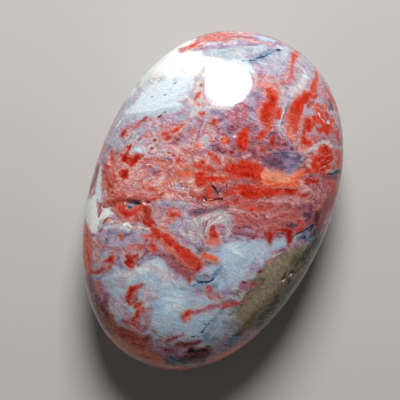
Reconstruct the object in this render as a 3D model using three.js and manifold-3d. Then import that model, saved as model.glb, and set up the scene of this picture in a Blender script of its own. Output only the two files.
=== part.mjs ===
// A polished agate palm stone: one solid pebble, domed above and below, that lies on a small flat
// ground on its underside. Millimetres, +Z up, +Y towards its fuller end. The origin is the middle
// of its outline, on the plane that it rests on.

import * as THREE from "three";
import { mergeVertices } from "three/addons/utils/BufferGeometryUtils.js";
import Module from "manifold-3d";

const wasm = await Module();
wasm.setup();

// Overall sizes
const LENGTH = 68;
const WIDTH = 46.3;
const THICKNESS = 27;

// The outline from above departs from an ellipse by these shares of its radius: it is fuller
// towards +Y, and squarer at the four shoulders
const EGG = 0.0175;
const SHOULDER = 0.011;

// The cross-section: the girdle is the widest level, with the crown above it and the keel below
const GIRDLE_HEIGHT = 12.6;
const CROWN_POWER = 2.25;
const KEEL_POWER = 2.1;
const FLAT_DEPTH = 0.45; // ground off the keel's lowest point
const CROWN_LEAN = new THREE.Vector2(-0.7, 0.9); // the top of the crown, from the outline's middle

const FACETING = 15; // each icosahedron face becomes (FACETING + 1) squared triangles
const PIT_FACETING = 2;
const WELD = 1e-4;
const UP = new THREE.Vector3(0, 0, 1);

// Natural pits that polishing left open on the crown: their middles from above, their sizes along
// the surface and into it, and how far they are turned from +X, in degrees
const PITS = [
  { name: "seam vug", at: [-13.2, -5.5], length: 3.4, width: 1.1, depth: 0.8, turn: 14 },
  { name: "tail of the seam vug", at: [-10.7, -4.5], length: 1.7, width: 0.7, depth: 0.5, turn: -2 },
  { name: "left red pit", at: [-3.0, 0.0], length: 1.2, width: 0.6, depth: 0.4, turn: -38 },
  { name: "right red pit", at: [-1.2, 0.2], length: 1.1, width: 0.7, depth: 0.45, turn: -5 },
  { name: "lower olive pit", at: [18.3, -8.5], length: 1.2, width: 0.6, depth: 0.4, turn: 66 },
  { name: "upper olive pit", at: [19.2, -7.1], length: 1.1, width: 0.5, depth: 0.35, turn: 75 },
];

// The outline's radius as a share of the ellipse's, at a turn about Z from +X
function outlineShare(turn) {
  const egg = EGG * (Math.sin(turn) + Math.sin(3 * turn));
  return 1 + egg + SHOULDER * (1 - Math.cos(4 * turn));
}

// Moves a point of the unit sphere to the pebble's surface, with the girdle at Z 0
function toPebble(point) {
  const above = point.z > 0;
  const crown = THICKNESS - GIRDLE_HEIGHT;
  const height = above ? crown : GIRDLE_HEIGHT + FLAT_DEPTH;
  const power = above ? CROWN_POWER : KEEL_POWER;
  const turn = Math.atan2(point.y, point.x);
  const out = Math.hypot(point.x, point.y);
  const reach = (out ** power + Math.abs(point.z) ** power) ** (-1 / power);
  const share = out * reach * outlineShare(turn);
  const rise = point.z * reach;
  const lean = above ? rise * rise : 0;
  point.set(
    (WIDTH / 2) * share * Math.cos(turn) + CROWN_LEAN.x * lean,
    (LENGTH / 2) * share * Math.sin(turn) + CROWN_LEAN.y * lean,
    Math.max(height * rise, -GIRDLE_HEIGHT),
  );
}

// A round body's triangles with shared vertices, so that it is one closed surface
function closedSphere(faceting) {
  const sphere = new THREE.IcosahedronGeometry(1, faceting);
  sphere.deleteAttribute("normal");
  sphere.deleteAttribute("uv");
  return mergeVertices(sphere, WELD);
}

function pebbleGeometry() {
  const geometry = closedSphere(FACETING);
  const place = geometry.getAttribute("position");
  const point = new THREE.Vector3();
  for (let i = 0; i < place.count; i++) {
    toPebble(point.fromBufferAttribute(place, i));
    place.setXYZ(i, point.x, point.y, point.z);
  }
  geometry.computeBoundingBox();
  const { min, max } = geometry.boundingBox;
  geometry.translate(-(min.x + max.x) / 2, -(min.y + max.y) / 2, -min.z);
  return geometry;
}

function toSolid(geometry) {
  return new wasm.Manifold(
    new wasm.Mesh({
      numProp: 3,
      vertProperties: geometry.getAttribute("position").array,
      triVerts: new Uint32Array(geometry.index.array),
    }),
  );
}

function toGeometry(solid) {
  const mesh = solid.getMesh();
  const geometry = new THREE.BufferGeometry();
  geometry.setAttribute("position", new THREE.BufferAttribute(mesh.vertProperties, 3));
  geometry.setIndex(new THREE.BufferAttribute(mesh.triVerts, 1));
  geometry.computeVertexNormals();
  return geometry;
}

// Where a plumb line at [x, y] meets the crown, and the way that the surface faces there
function onCrown(pebble, [x, y]) {
  const from = new THREE.Vector3(x, y, 2 * THICKNESS);
  const ray = new THREE.Raycaster(from, UP.clone().negate());
  const [hit] = ray.intersectObject(new THREE.Mesh(pebble, new THREE.MeshBasicMaterial()));
  return { point: hit.point, normal: hit.face.normal };
}

// A squashed round cutter, sunk by half so that its lower half leaves the pit
function pitCutter(pebble, { at, length, width, depth, turn }) {
  const { point, normal } = onCrown(pebble, at);
  const cutter = closedSphere(PIT_FACETING);
  cutter.scale(length / 2, width / 2, depth);
  cutter.rotateZ(THREE.MathUtils.degToRad(turn));
  cutter.applyQuaternion(new THREE.Quaternion().setFromUnitVectors(UP, normal));
  cutter.translate(point.x, point.y, point.z);
  return toSolid(cutter);
}

function agate() {
  const pebble = pebbleGeometry();
  const solid = PITS.reduce(
    (left, pit) => left.subtract(pitCutter(pebble, pit)),
    toSolid(pebble),
  );
  const material = new THREE.MeshStandardMaterial({
    color: new THREE.Color(0.62, 0.4, 0.42),
    roughness: 0.12,
    metalness: 0,
  });
  const mesh = new THREE.Mesh(toGeometry(solid), material);
  mesh.name = "polished_agate";
  return mesh;
}

const stone = new THREE.Group();
stone.add(agate());

export default stone;
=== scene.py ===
"""A polished palm stone of plume agate, laid on its flat and seen from above."""

import itertools
import math
from typing import NamedTuple

import bpy
import numpy as np
from bpy.props import FloatProperty, FloatVectorProperty, IntProperty, PointerProperty
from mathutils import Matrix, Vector
from mathutils.bvhtree import BVHTree


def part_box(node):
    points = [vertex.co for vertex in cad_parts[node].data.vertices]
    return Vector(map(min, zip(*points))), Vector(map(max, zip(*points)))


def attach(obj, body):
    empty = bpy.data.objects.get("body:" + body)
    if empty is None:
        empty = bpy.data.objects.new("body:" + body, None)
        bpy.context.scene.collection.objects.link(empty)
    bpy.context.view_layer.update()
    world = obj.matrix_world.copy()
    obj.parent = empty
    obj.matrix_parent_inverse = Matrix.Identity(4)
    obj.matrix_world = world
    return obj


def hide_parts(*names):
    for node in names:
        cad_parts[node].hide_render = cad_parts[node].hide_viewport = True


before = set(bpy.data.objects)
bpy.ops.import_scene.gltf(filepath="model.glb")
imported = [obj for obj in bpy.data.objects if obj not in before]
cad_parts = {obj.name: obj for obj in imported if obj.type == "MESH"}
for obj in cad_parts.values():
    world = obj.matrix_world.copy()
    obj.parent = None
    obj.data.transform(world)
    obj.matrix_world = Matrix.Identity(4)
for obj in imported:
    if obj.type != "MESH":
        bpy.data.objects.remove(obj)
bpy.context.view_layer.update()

bl_info = {
    "name": "Plume Agate Palm Stone",
    "version": (1, 0, 0),
    "blender": (4, 5, 0),
    "location": "View3D > Sidebar > Agate",
    "description": "Builds a polished plume agate and the small studio that it lies in",
    "category": "Add Mesh",
}

NODE = "polished_agate"
MM = 0.001

# The outline's departures from an ellipse, as the solid's: how much fuller it is towards +Y, and
# how much squarer its four shoulders are
EGG = 0.0175
SHOULDER = 0.011

# The picture, in pixels, and where the stone's outline has its middle and its scale in it
PICTURE = 400
STONE_MIDDLE = (209.3, 201.4)
PIXELS_PER_MM = 5.16
TURN = math.radians(21.5)  # how far the picture's right is turned from +X, towards +Y

HIGHLIGHT = (227.5, 80.5)  # where the key light is mirrored in the stone

# What share of a width a depth counts for, where crisp markings spread from their lines
DEPTH_SHARE = 0.5
# How many pixels the broad colours move, across and down the picture, for each millimetre below
# the widest level
LEAN_BELOW = (1.1, -0.7)


def colour(words, *default):
    return FloatVectorProperty(
        description=words, subtype="COLOR_GAMMA", size=3, min=0, max=1, default=default,
    )


def length(words, default, **limits):
    return FloatProperty(description=words, unit="LENGTH", default=default, **limits)


class AgateSizes(bpy.types.PropertyGroup):
    """The pebble's sizes, which the solid's box gives where it can."""

    width: length("Across the outline", 0.0463, min=0.001)
    length: length("Along the outline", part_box(NODE)[1][1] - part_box(NODE)[0][1], min=0.001)
    thickness: length("From the flat to the crown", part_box(NODE)[1][2], min=0.001)
    girdle: length("The widest level's height above the flat", 0.0126, min=0)
    ground_off: length("What the flat takes off the keel", 0.00045, min=0)
    crown_power: FloatProperty(description="2 is an ellipse", default=2.25)
    keel_power: FloatProperty(description="2 is an ellipse", default=2.1)
    lean_x: length("The crown's top from the outline's middle", -0.0007)
    lean_y: length("The crown's top from the outline's middle", 0.0009)
    wave_height: length("Unevenness that hand grinding leaves", 0.00012, min=0)
    wave_size: length("How far apart the unevenness lies", 0.016, min=0.001)
    wave_fade: length("How far above the floor it is full", 0.004, min=0.0001)
    columns: IntProperty(description="Faces across the crown", default=236)
    rows: IntProperty(description="Faces along the crown", default=324)


class AgateColours(bpy.types.PropertyGroup):
    """The colours of the chalcedony and of what grew in it."""

    chalk: colour("The whitest chalcedony", .98, .99, .98)
    cream: colour("Warm white chalcedony", .88, .86, .82)
    ice: colour("Cold white chalcedony", .88, .93, .96)
    pearl: colour("Faintly pink chalcedony", .84, .79, .80)
    ash: colour("Grey chalcedony", .71, .75, .79)
    cloud: colour("Green-grey chalcedony", .68, .70, .69)
    mist: colour("Pink-grey chalcedony", .75, .71, .72)
    sky: colour("Pale blue chalcedony", .73, .83, .92)
    azure: colour("Bright blue chalcedony", .86, .96, 1.0)
    frost: colour("Cold grey chalcedony", .76, .81, .85)
    steel: colour("Blue-grey chalcedony", .50, .60, .72)
    blue: colour("Blue round the dendrites", .38, .50, .66)
    ink: colour("Dark blue dendrites", .16, .23, .33)
    lilac: colour("Pale violet chalcedony", .71, .66, .75)
    slate: colour("Blue-violet chalcedony", .57, .52, .63)
    violet: colour("Dark violet chalcedony", .42, .33, .43)
    mauve: colour("Red haze over violet", .67, .45, .56)
    plum: colour("Darkest violet chalcedony", .33, .23, .33)
    dusky: colour("Red haze over dark violet", .60, .33, .39)
    garnet: colour("Thick red haze over violet", .64, .29, .29)
    wine: colour("Dark red haze over violet", .48, .21, .29)
    rose: colour("Red haze over white", .77, .44, .45)
    # Ember also paints the lower left rim, where its warm orange is partly painted reflection
    ember: colour("Orange-brown rim", .84, .37, .27)
    brick: colour("Thick red haze", .76, .36, .34)
    blush: colour("Thin red haze over white", .88, .71, .69)
    salmon: colour("The plumes' skirts", .86, .48, .41)
    pink: colour("Thin plume", .85, .57, .55)
    poppy: colour("Mottled plume", .81, .29, .22)
    # Apricot and coral also stand in for the painted warm reflection along the lower rims
    apricot: colour("The palest plume", .96, .60, .48)
    coral: colour("Orange plume", .95, .44, .30)
    scarlet: colour("Red plume", .81, .20, .12)
    crimson: colour("Deep red plume", .70, .12, .07)
    rust: colour("Brown-red plume", .68, .25, .18)
    bark: colour("Brown rim", .58, .30, .22)
    oxblood: colour("Brown-red plume", .36, .10, .08)
    olive: colour("Green-grey moss zone", .46, .45, .33)
    taupe: colour("Brown-grey moss zone", .52, .45, .38)
    drab: colour("Pale brown-grey moss zone", .62, .57, .48)
    # Painted shade: the moss zone darkened to near black where the stone turns away from the key light
    umber: colour("Dark brown-green moss zone", .13, .12, .07)
    charcoal: colour("Grey-black inclusions", .29, .28, .30)
    soot: colour("Black-brown inclusions", .13, .08, .07)
    film: colour("Pale clouds, curls and rims in the haze", .90, .68, .66)
    murk: colour("Dark clouds in the haze", .55, .25, .33)
    dusk: colour("Dark curls in the haze", .42, .20, .27)
    thin_moss: colour("Thin moss and the plumes' pale parts", .85, .47, .41)
    thick_moss: colour("The moss's hearts", .74, .19, .12)


class AgateStudio(bpy.types.PropertyGroup):
    """The floor, the lights and the camera."""

    floor_size: length("Across the floor", 6.0, min=0.1)
    floor_colour: colour("The pale floor", .80, .79, .77)
    view_distance: length("From the camera to the girdle", 0.30, min=0.05)
    key_distance: length("From the key light to the stone", 0.45, min=0.1)
    key_width: length("Across the oval key light", 0.20, min=0.01)
    key_height: length("Up the oval key light", 0.25, min=0.01)
    key_power: FloatProperty(description="Of the key light", unit="POWER", default=2.45)
    room_light: FloatProperty(description="The room's own brightness", default=0.07)


def ring(x, y, radius, half, start=0, end=360):
    """The points round a circle, or round a part of it, between two angles in degrees."""
    steps = max(4, round((end - start) / 30))
    turns = [math.radians(start + (end - start) * i / steps) for i in range(steps + 1)]
    return [(x + radius * math.cos(turn), y - radius * math.sin(turn), half) for turn in turns]


class Ground(NamedTuple):
    """A kind of chalcedony: its colour and its streaks', and how much moss and grain it shows."""

    colour: str
    streak: str
    moss: float
    grain: float


GROUNDS = {
    "chalk": Ground("chalk", "chalk", 0, .05),
    "ice": Ground("ice", "ice", 0, .05),
    "cream": Ground("cream", "ash", 0, .2),
    "ash": Ground("ash", "lilac", .1, .4),
    "pearl": Ground("pearl", "lilac", .05, .35),
    "lens": Ground("frost", "ash", 0, .2),
    "speckled grey": Ground("cloud", "ash", 0, .8),
    "sky": Ground("sky", "frost", 0, .3),
    "bright sky": Ground("azure", "ice", 0, .3),
    "blue": Ground("blue", "steel", 0, .3),
    "steel": Ground("steel", "ash", 0, .3),
    "lilac": Ground("lilac", "ash", .15, .4),
    "slate": Ground("slate", "lilac", .1, .4),
    "violet": Ground("violet", "slate", 0, .35),
    "plum": Ground("plum", "violet", .1, .5),
    "dark blue": Ground("ink", "steel", 0, .5),
    "mauve": Ground("mauve", "lilac", .45, .8),
    "mauve rose": Ground("mauve", "rose", .4, .8),
    "rose lilac": Ground("rose", "lilac", .3, .7),
    "wine mauve": Ground("mauve", "wine", .3, .7),
    "dull violet": Ground("mauve", "slate", .1, .6),
    "red violet": Ground("violet", "dusky", .2, .6),
    "dusky mauve": Ground("dusky", "mauve", .3, .8),
    "window": Ground("violet", "slate", 0, .3),
    "window's heart": Ground("violet", "wine", 0, .3),
    "mist": Ground("mist", "pearl", .1, .7),
    "warm haze": Ground("brick", "rose", .5, .6),
    # Painted warm reflection, laid along the lower rims
    "bright rust": Ground("apricot", "coral", 0, .3),
    "haze": Ground("rose", "blush", .55, 1),
    "dusk": Ground("taupe", "mauve", .3, .8),
    "thin haze": Ground("blush", "lilac", .4, .9),
    "rose red": Ground("rose", "dusky", .4, .8),
    "blush": Ground("blush", "rose", .1, .6),
    "pale haze": Ground("blush", "lilac", .1, .7),
    "pale lilac": Ground("lilac", "pearl", .05, .5),
    "pale": Ground("pearl", "ice", 0, .3),
    "dusky": Ground("dusky", "wine", .4, .8),
    "garnet": Ground("garnet", "wine", .5, .5),
    "garnet rim": Ground("garnet", "garnet", .2, .3),
    # The left rim's red-orange: partly the stone's red, partly painted warm reflection
    "red rust": Ground("coral", "scarlet", 0, .5),
    "dim lilac": Ground("lilac", "slate", .05, .4),
    "deep rose": Ground("dusky", "wine", .25, .5),
    "pale rose": Ground("pink", "pink", .1, .5),
    "red fold": Ground("garnet", "brick", .4, .5),
    "salmon": Ground("salmon", "rose", .5, .8),
    "rust": Ground("ember", "oxblood", .6, .8),
    "wine": Ground("wine", "mauve", .4, .7),
    # The lower left rim's brown-orange: partly the stone's rust, partly painted warm reflection
    "rust brown": Ground("ember", "bark", .2, .3),
    "dark rim": Ground("oxblood", "wine", .3, .6),
    "moss": Ground("olive", "taupe", 0, .45),
    "brown moss": Ground("drab", "drab", 0, .45),
    "brown grey": Ground("taupe", "ash", .1, .6),
    # Painted shade over the moss at the lower right rim
    "umber": Ground("umber", "olive", 0, .5),
    "charcoal": Ground("charcoal", "steel", 0, .5),
    "soot": Ground("soot", "oxblood", .3, 1),
}

# Where each kind of chalcedony shows, painted in turn: its kind, how soft its edge is, and its line
# of points, each with its half width, in pixels of the picture
WASHES = {
    "upper haze": ("haze", 18, (110,165,34), (200,165,42), (300,185,40)),
    "upper right": ("lilac", 12, (268,56,16), (290,76,24), (312,104,26)),
    "lower sky": ("sky", 18, (120,290,34), (190,300,50), (250,262,26)),
    "left lilac": ("lilac", 14, (104,250,14), (130,236,20), (170,222,12)),
    # The white end
    "white end": ("chalk", 8, (140,94,16), (158,78,22), (190,58,20), (206,62,18)),
    # Painted highlight: white laid under the key light's mirrored highlight, out to its edge, where the
    # stone's own colour is hidden
    "under the light": ("chalk", 3, (228.5,82.5,22.6)),
    # Partly the stone's pale chalcedony, partly painted glow at the highlight's upper edge
    "ice by the light": ("ice", 5, (228,58,3), (240,60,5), (248,66,4), (254,73,2)),
    "ice": ("ice", 12, (140,100,11), (156,97,12), (171,91,13), (181,86,11)),
    "cream tinge": ("cream", 10, (143,88,4), (152,80,5), (162,78,3)),
    "chalk above the ice": ("chalk", 3, (164,66,5), (188,64,6), (202,60,5)),
    "grey rim": ("ash", 6, (130,100,2), (124,112,4)),
    "grey rim high": ("ash", 5, (139,82,2.5), (138,92,2), (133,102,3)),
    "grey foot": ("lens", 5, (124,119,4), (132,113,4), (146,113,5), (160,113,4), (172,108,5), (182,106,4)),
    "pearl foot": ("ice", 5, (130,111,3.5), (142,110,4), (152,108,3), (176,104,3)),
    "ash beside the light": ("cream", 5, (205,68,1.5), (201,76,3), (200,88,5), (199,98,6), (200,107,5),
        (193,113,5)),
    "ice beside the light": ("ice", 5, (191,80,3.5), (192,87,2.5)),
    "cream by the white end": ("cream", 4, (189,96,3), (191,104,2.5)),
    "ice by the chain": ("ice", 4, (181,98,2.5), (186,95,2.5)),
    "slate rim": ("ash", 3, (128,101,1.5), (121,112,2.5), (114,128,3), (109,140,4)),
    "sky rim": ("ash", 4, (115,131,4), (112,142,3)),
    # Under the white end
    "lilac left": ("lilac", 6, (141,124,3), (150,126,5.5), (160,131,4)),
    "ash over the chain": ("ash", 5, (121,126,3), (128,121,4), (137,117,3)),
    "ash under the chain": ("ash", 4, (118,134,3), (121,142,3)),
    "pale left": ("ash", 6, (110,148,3), (115,148,5), (120,144,6), (128,142,3)),
    "lilac diagonals": ("lilac", 5, (130,142,4), (138,134,5), (146,130,3)),
    "pink blotch": ("thin haze", 4, (152,125,3), (160,123,3), (168,122,2.5)),
    "pink round the eyes": ("pale haze", 5, (144,142,3), (152,142,5), (160,145,4), (150,148,4)),
    "slate smudge": ("lilac", 4, (174,118,3), (182,116,4), (188,112,3)),
    "mauve smudge": ("mauve", 4, (163,120,2.4), (170,121.5,2.6)),
    "slate smudge's heart": ("slate", 3, (169,117,1.5), (176,114.5,2)),
    "sky by the claw": ("lilac", 3, (131,151,2), (136,149,3), (141,143,2.5)),
    "pink by the claw's foot": ("blush", 4, (143,159,2.4), (150,158,2.4), (160,151,3)),
    "mauve streak": ("mauve", 5, (163,146,2), (172,142,3.5), (182,139,4), (190,134,2.4)),
    "dusky streak": ("dusky", 4, (172,142,1.5), (178,138,2)),
    "slate streak": ("slate", 4, (184,130,2), (192,127,2)),
    "pink left": ("thin haze", 6, (178,148,2), (186,143,2.5), (194,138,3.4)),
    "pink by the halo": ("pale lilac", 4, (188,124,2), (196,124,4), (200,131,3)),
    "lilac by the vein": ("rose lilac", 4, (206,119,2), (202,128,2.5), (200,138,3)),
    "left rim grey": ("slate", 4, (110,147,3), (104,156,3), (101,166,3)),
    "left salmon": ("salmon", 3, (113,157,1.5), (113.5,162,2.5), (114,167,2)),
    "rust by the left rim": ("rust", 5, (107,186,4), (110,178,3)),
    "blush by the claw": ("pale haze", 4, (140,155,3), (146,157,3), (156,155,3), (166,150,2)),
    "pale by the claw": ("pale", 3, (138,148.5,2.6), (146,151,3.2), (156,150.5,2.8)),
    "pale by the eyes": ("pale haze", 4, (148,156,3), (158,150,4), (162,144,2)),
    "salmon under the eyes": ("salmon", 4, (146,161,2), (156,161,3), (165,166,4), (170,171,3)),
    "violets": ("violet", 3, (164,160,1.5), (169,159,2)),
    "lilac left middle": ("slate", 3, (150,173,1), (153,169,1.5), (157,167,1)),
    "mauve by the crumbs": ("rose lilac", 4, (154,173,2.5), (148,176,2)),
    "pink middle": ("haze", 8, (128,184,6), (142,180,7), (154,188,5), (178,190,6), (190,186,4)),
    "lilac by the crack": ("lilac", 4, (176,183,1.5), (182,186,2)),
    "salmon middle": ("pale rose", 5, (134,190,3), (146,190,3), (156,189,3), (166,182,2.5)),
    "pale by the seed": ("thin haze", 4, (150,173,2), (154,177,3)),
    "dusky by the folds": ("dusky mauve", 5, (196,152,3), (204,152,3), (214,149,2)),
    "rust left": ("rust", 5, (105,172,4), (108,182,5), (113,194,5), (122,196,3)),
    "grey left rim": ("ice", 3, (100,168,1.2), (98,180,2), (97,190,3), (101,199,4)),
    "brown left rim": ("dark rim", 3, (97,168,1.5), (93,182,1.5), (90,190,1)),
    "white corner": ("chalk", 3, (94,197,2.5), (91,205,5.5), (91,214,7), (93,223,6.4), (94,229,3.6)),
    "white corner's toe": ("chalk", 3, (107,211.5,4), (102,217,4.4), (99,221,3)),
    "brown by the corner": ("cream", 3, (104.5,202,1.5)),
    "salmon by the corner": ("salmon", 3, (104,207.5,1.2)),
    "blush by the corner": ("thin haze", 4, (104,198,2.5), (104,190,1.5)),
    # Under the light
    "steel under the light": ("slate", 4, (209,111,2), (215,112,3), (222,113,3), (226,118,2)),
    "lilac under the light": ("mauve", 6, (252,96,4), (256,104,4), (252,114,4), (250,122,3)),
    "violet by the light": ("dull violet", 4, (258,90,2), (256,97,4), (254,104,2)),
    # Partly pale stone, partly painted glow at the highlight's right edge
    "pearl by the light": ("pale", 3, (255,75,2.5), (255.5,80,2.6)),
    "mauve left of the light": ("dull violet", 4, (221,121,3), (228,125,3)),
    "slate under the light": ("slate", 6, (250,94,3), (252,110,3), (254,120,3)),
    "rose under the light": ("mauve rose", 6, (228,118,3), (235,113,5), (236,120,6), (244,118,5),
        (247,108,3)),
    "rose by the blob": ("deep rose", 5, (247,128,3), (255,129,4), (262,127,4), (252,135,3)),
    "rose by the column's foot": ("mauve rose", 4, (258,112,2.5), (260,119,3)),
    "mauve by the column's foot": ("mauve", 4, (275,121,2), (285,118,3)),
    # Partly pale stone, partly painted glow at the highlight's lower edge
    "pale under the light": ("pale", 4, (201,98,3), (206,104,3.5), (208,110,2.5), (214,107,2.5),
        (221,109,1.5), (228,108.5,2.5), (233,107,1.5)),
    "pink between": ("pale haze", 5, (210,127,3), (214,133,3.5), (218,138,2)),
    "dusky left of the light": ("dusky", 5, (214,124,1.5), (221,122,2)),
    "slate between": ("lilac", 4, (208,138,3), (207,143,2.5), (211,147,1.5)),
    "violet between": ("dull violet", 4, (213,146,2), (217,145,2.5), (220,127,1), (226,130,3), (232,134,4)),
    "wine between": ("wine mauve", 4, (230,130,2.5), (236,127,3.5), (243,125,2)),
    "lilac halo": ("dull violet", 4, (232,140,2.5), (231,147,3), (252,134,1.5), (252,128,1.5)),
    "violet middle": ("red violet", 4, (252,141,3.5), (262,143,4.5)),
    "beige above the plume": ("deep rose", 5, (218,148,3), (228,154,3), (236,154,5), (247,156,4),
        (256,156,5)),
    "garnet by the window": ("deep rose", 4, (260,151,3), (262,160,3), (267,168,2.5)),
    "dusky middle": ("deep rose", 5, (248,147,4), (258,150,5), (268,148,4), (275,146,5), (284,147,5),
        (291,148,3)),
    "light above the plume": ("haze", 3, (243,157,1.5), (249,155,1.8)),
    "mauve in the dusk": ("dusky mauve", 4, (277,149,2.5), (287,149,2.5)),
    "wine spots": ("wine", 3, (224,151,2), (235,155,2)),
    # The upper right
    "rose by the column": ("mauve", 5, (258,122,4), (264,126,4), (258,130,3)),
    "pink cloud": ("rose lilac", 5, (293,64,3), (291,72,5), (289,80,6)),
    "lilac strip": ("ash", 5, (268,62,2), (268,68,3), (274,73,3), (279,68,2)),
    "pink above the column": ("rose lilac", 4, (262,76,2), (270,77,1), (283,76,2), (282,84,2)),
    "pale right": ("pale lilac", 5, (300,62,3.5), (305,69,5)),
    "cream right": ("pale", 4, (306,74,3), (304,82,4), (299,89,4), (290,94,3)),
    "pale column": ("slate", 4, (287,96,3), (287,106,4), (286,116,3.5), (281,126,4), (280,134,2.5)),
    "white column": ("pearl", 3, (286,104,1.5), (279,122,2.5), (281,130,2)),
    "white column's foot": ("pearl", 2.5, (289,93,1.2), (286,103,1.2), (284,112,1), (280,122,1.5)),
    "rose under the arm": ("dusky", 3, (276,118.5,3), (282,116,2.6)),
    "rose beside the stem": ("rose red", 4, (287,115,1.5), (288,125,2.5), (287,131,1.5)),
    "slate by the rim": ("dim lilac", 4, (318,80,1.5), (319,90,3.5), (317,99,3.5), (311,106,2.5)),
    "mauve by the rim": ("mauve", 4, (322,84,2), (323,92,2)),
    "rim's edge": ("dusky mauve", 4, (333,112,3), (338,122,4), (340,132,4), (340,142,3)),
    "rose between the plumes": ("rust", 4, (312,104,2), (318,109,4), (324,108,3)),
    "right rim": ("mauve", 5, (322,86,5), (328,98,5), (332,110,5), (338,120,5), (341,130,4)),
    "right rim low": ("red fold", 5, (340,152,2), (340,166,4), (334,178,5)),
    "red between the teeth": ("dusky", 3, (277,235,2.5), (283,236,2.5)),
    "rim pearl": ("ash", 4, (300,56,2), (310,66,2.5), (317,76,2)),
    "dark violet lens": ("plum", 2.5, (328.5,101,2.5), (331,107,2.5)),
    "lilac crack": ("lilac", 2, (305,111,1.5), (302,120,1.8), (303,130,2), (301,137,1.5)),
    "pale foot": ("blush", 4, (285,130,2.5), (289,138,3), (296,139,2.5)),
    "pale knot": ("rose lilac", 4, (308,139,2.5), (315,138,4), (319,138,3)),
    "mauve knot": ("mauve rose", 4, (322,137.5,2), (331,138.5,3.5)),
    "mauve middle": ("dusky", 4, (268,138,2.5), (274,132,2), (278,142,3)),
    "pale by the seed's hood": ("mauve", 4, (284,136,2.5), (292,141,3), (288,146,2)),
    "violet window": ("window", 4, (266,160,5), (278,160,9), (292,160,10), (302,158,4), (290,170,5)),
    "wine in the window": ("window's heart", 6, (266,159,4), (274,160,5), (280,164,3)),
    "window's edge": ("deep rose", 3, (268,167,2), (274,170,2), (282,171,2.5)),
    "pale band's end": ("mist", 3, (322,145,2.5), (332,146,2.5), (340,148,2.5)),
    "window's rim": ("blush", 2, (298,150,1), (303,154.5,1.2), (310,151,1)),
    "pale band": ("mist", 3, (301,159,1.2), (306,153,1.8), (312,148,2.2), (320,143.5,2.4), (329,141,2)),
    "slate by the dark bit": ("slate", 4, (332,174,2), (340,171,3)),
    "rust by the swirl": ("rust", 4, (300,170,2), (306,167,2)),
    "garnet folds": ("garnet", 6, (204,186,5), (214,192,7), (226,194,6), (230,184,4), (239,180,3),
        (222,200,4)),
    "red by the fold ring": ("red fold", 5, (222,196,4), (231,198,4)),
    "garnet under the plume": ("garnet rim", 4, (229,178.5,2.5), (242,181.5,3), (254,182,3)),
    "garnet by the dash": ("salmon", 5, (180,164,3), (188,162,3), (178,177,3), (186,178,3), (192,174,2)),
    "pale by the dash": ("blush", 4, (186,157,2), (190,160,3)),
    "salmon by the dash": ("pale rose", 3, (189,164,3), (195,169,2)),
    "mauve by the swirl": ("deep rose", 4, (303,178,2), (312,174,2.5), (324,176,3), (333,178,3)),
    "rose right": ("rose red", 5, (306,190,3), (316,188,5), (326,190,5), (322,180,3)),
    # The middle
    "violet pocket": ("violet", 2.5, (241,179.5,1.5), (245,179.5,1.2)),
    "mauve pocket": ("rose red", 4, (222,186,2.5), (229,184,3.5), (228,190,2)),
    "pink over the step": ("haze", 4, (186,188,3), (192,189,3), (201,189,2.5)),
    "lilac wedge": ("pale lilac", 4, (158,203,2), (172,204.5,4.5), (182,205,4), (189,207,2)),
    "slate wedge": ("slate", 4, (158,205,1.5), (180,208,2), (190,215,3)),
    "blush step": ("blush", 3, (190,202,2), (200,205,1.5), (210,207,1.5)),
    "blush under the step": ("blush", 4, (197,203,2.4), (203,204,2)),
    "dusky ledge": ("dusky", 3, (204,207,1.5), (214,207.5,2), (226,206,3)),
    "red right": ("red fold", 6, (238,204,5), (256,205,6), (276,209,5), (292,212,7), (304,212,4)),
    "rose low right": ("warm haze", 6, (240,220,6), (256,223,7), (276,224,7), (294,220,4)),
    "pink fold": ("haze", 4, (240,214,2), (252,216.5,3), (264,216.5,3), (272,215,1.5)),
    "dusky fold": ("rose red", 4, (236,228,3), (248,226,3), (260,230,3), (258,237,2)),
    "violet low right": ("dusky mauve", 4, (228,237,1.5), (234,232,2.5), (240,235,2), (250,236,4),
        (260,234,3), (266,238,2)),
    "mauve low right": ("deep rose", 5, (304,207,4), (312,206,3), (306,222,3)),
    "blush lens": ("pale rose", 4, (266,201,1.5), (278,200,4), (291,199,4), (303,200,1.5)),
    "blush in the lens": ("blush", 4, (274,201,1.5), (284,200.5,2.2), (292,199,1.5)),
    "upper blush lens": ("blush", 4, (300,189,3), (311,189,3.6), (316,190,2)),
    "dark right rim": ("garnet rim", 5, (336,190,3), (329,202,6), (322,213,5), (317,223,7), (316,230,5)),
    "rim under the swirl": ("garnet rim", 4, (322,174,2), (328,176,2)),
    "wine right": ("plum", 2.5, (303,214.5,1.5), (311,216,2.5), (320,214,1.8)),
    # Under the seam
    "rose under the seam": ("salmon", 4, (118,210,4), (126,218,4), (134,218,4)),
    "blush by the toe": ("pale", 4, (112,213,2.5)),
    "rust under the seam": ("rust", 4, (142,211,3.5), (144,217,3)),
    "red by the seam's end": ("rust", 4, (153,225,2), (158,228,2)),
    "red beside the neck": ("rust", 4, (139,219,3), (143,203,2.5), (115,203,2.5)),
    "garnet by the vug": ("dark rim", 3, (122,203,2), (131,204,3), (138,205,3), (145,205,3)),
    "blush crust": ("blush", 3, (104,220,2), (112,221,2.5), (127,226,3), (140,227,2.5), (148,229,1.5)),
    "salmon over the almond": ("salmon", 4, (143,235.5,1.5), (149,236.5,2), (155,241,2)),
    "speckled": ("thin haze", 4, (156,208,3), (158,216,5), (162,226,5), (168,232,3)),
    "blush right of the seam": ("blush", 4, (156,208,2), (160,218,3), (164,224,2)),
    "rose right of the seam": ("haze", 5, (170,212,5), (178,214,4), (170,221,4)),
    "grey swirl": ("pale lilac", 5, (186,214,2), (188,224,4), (186,236,4), (196,244,3), (178,226,4)),
    "grey swirl's arc": ("mist", 4, (189,236,3), (194,227,5), (200,219,5), (209,214,4.5), (220,213,4),
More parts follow.
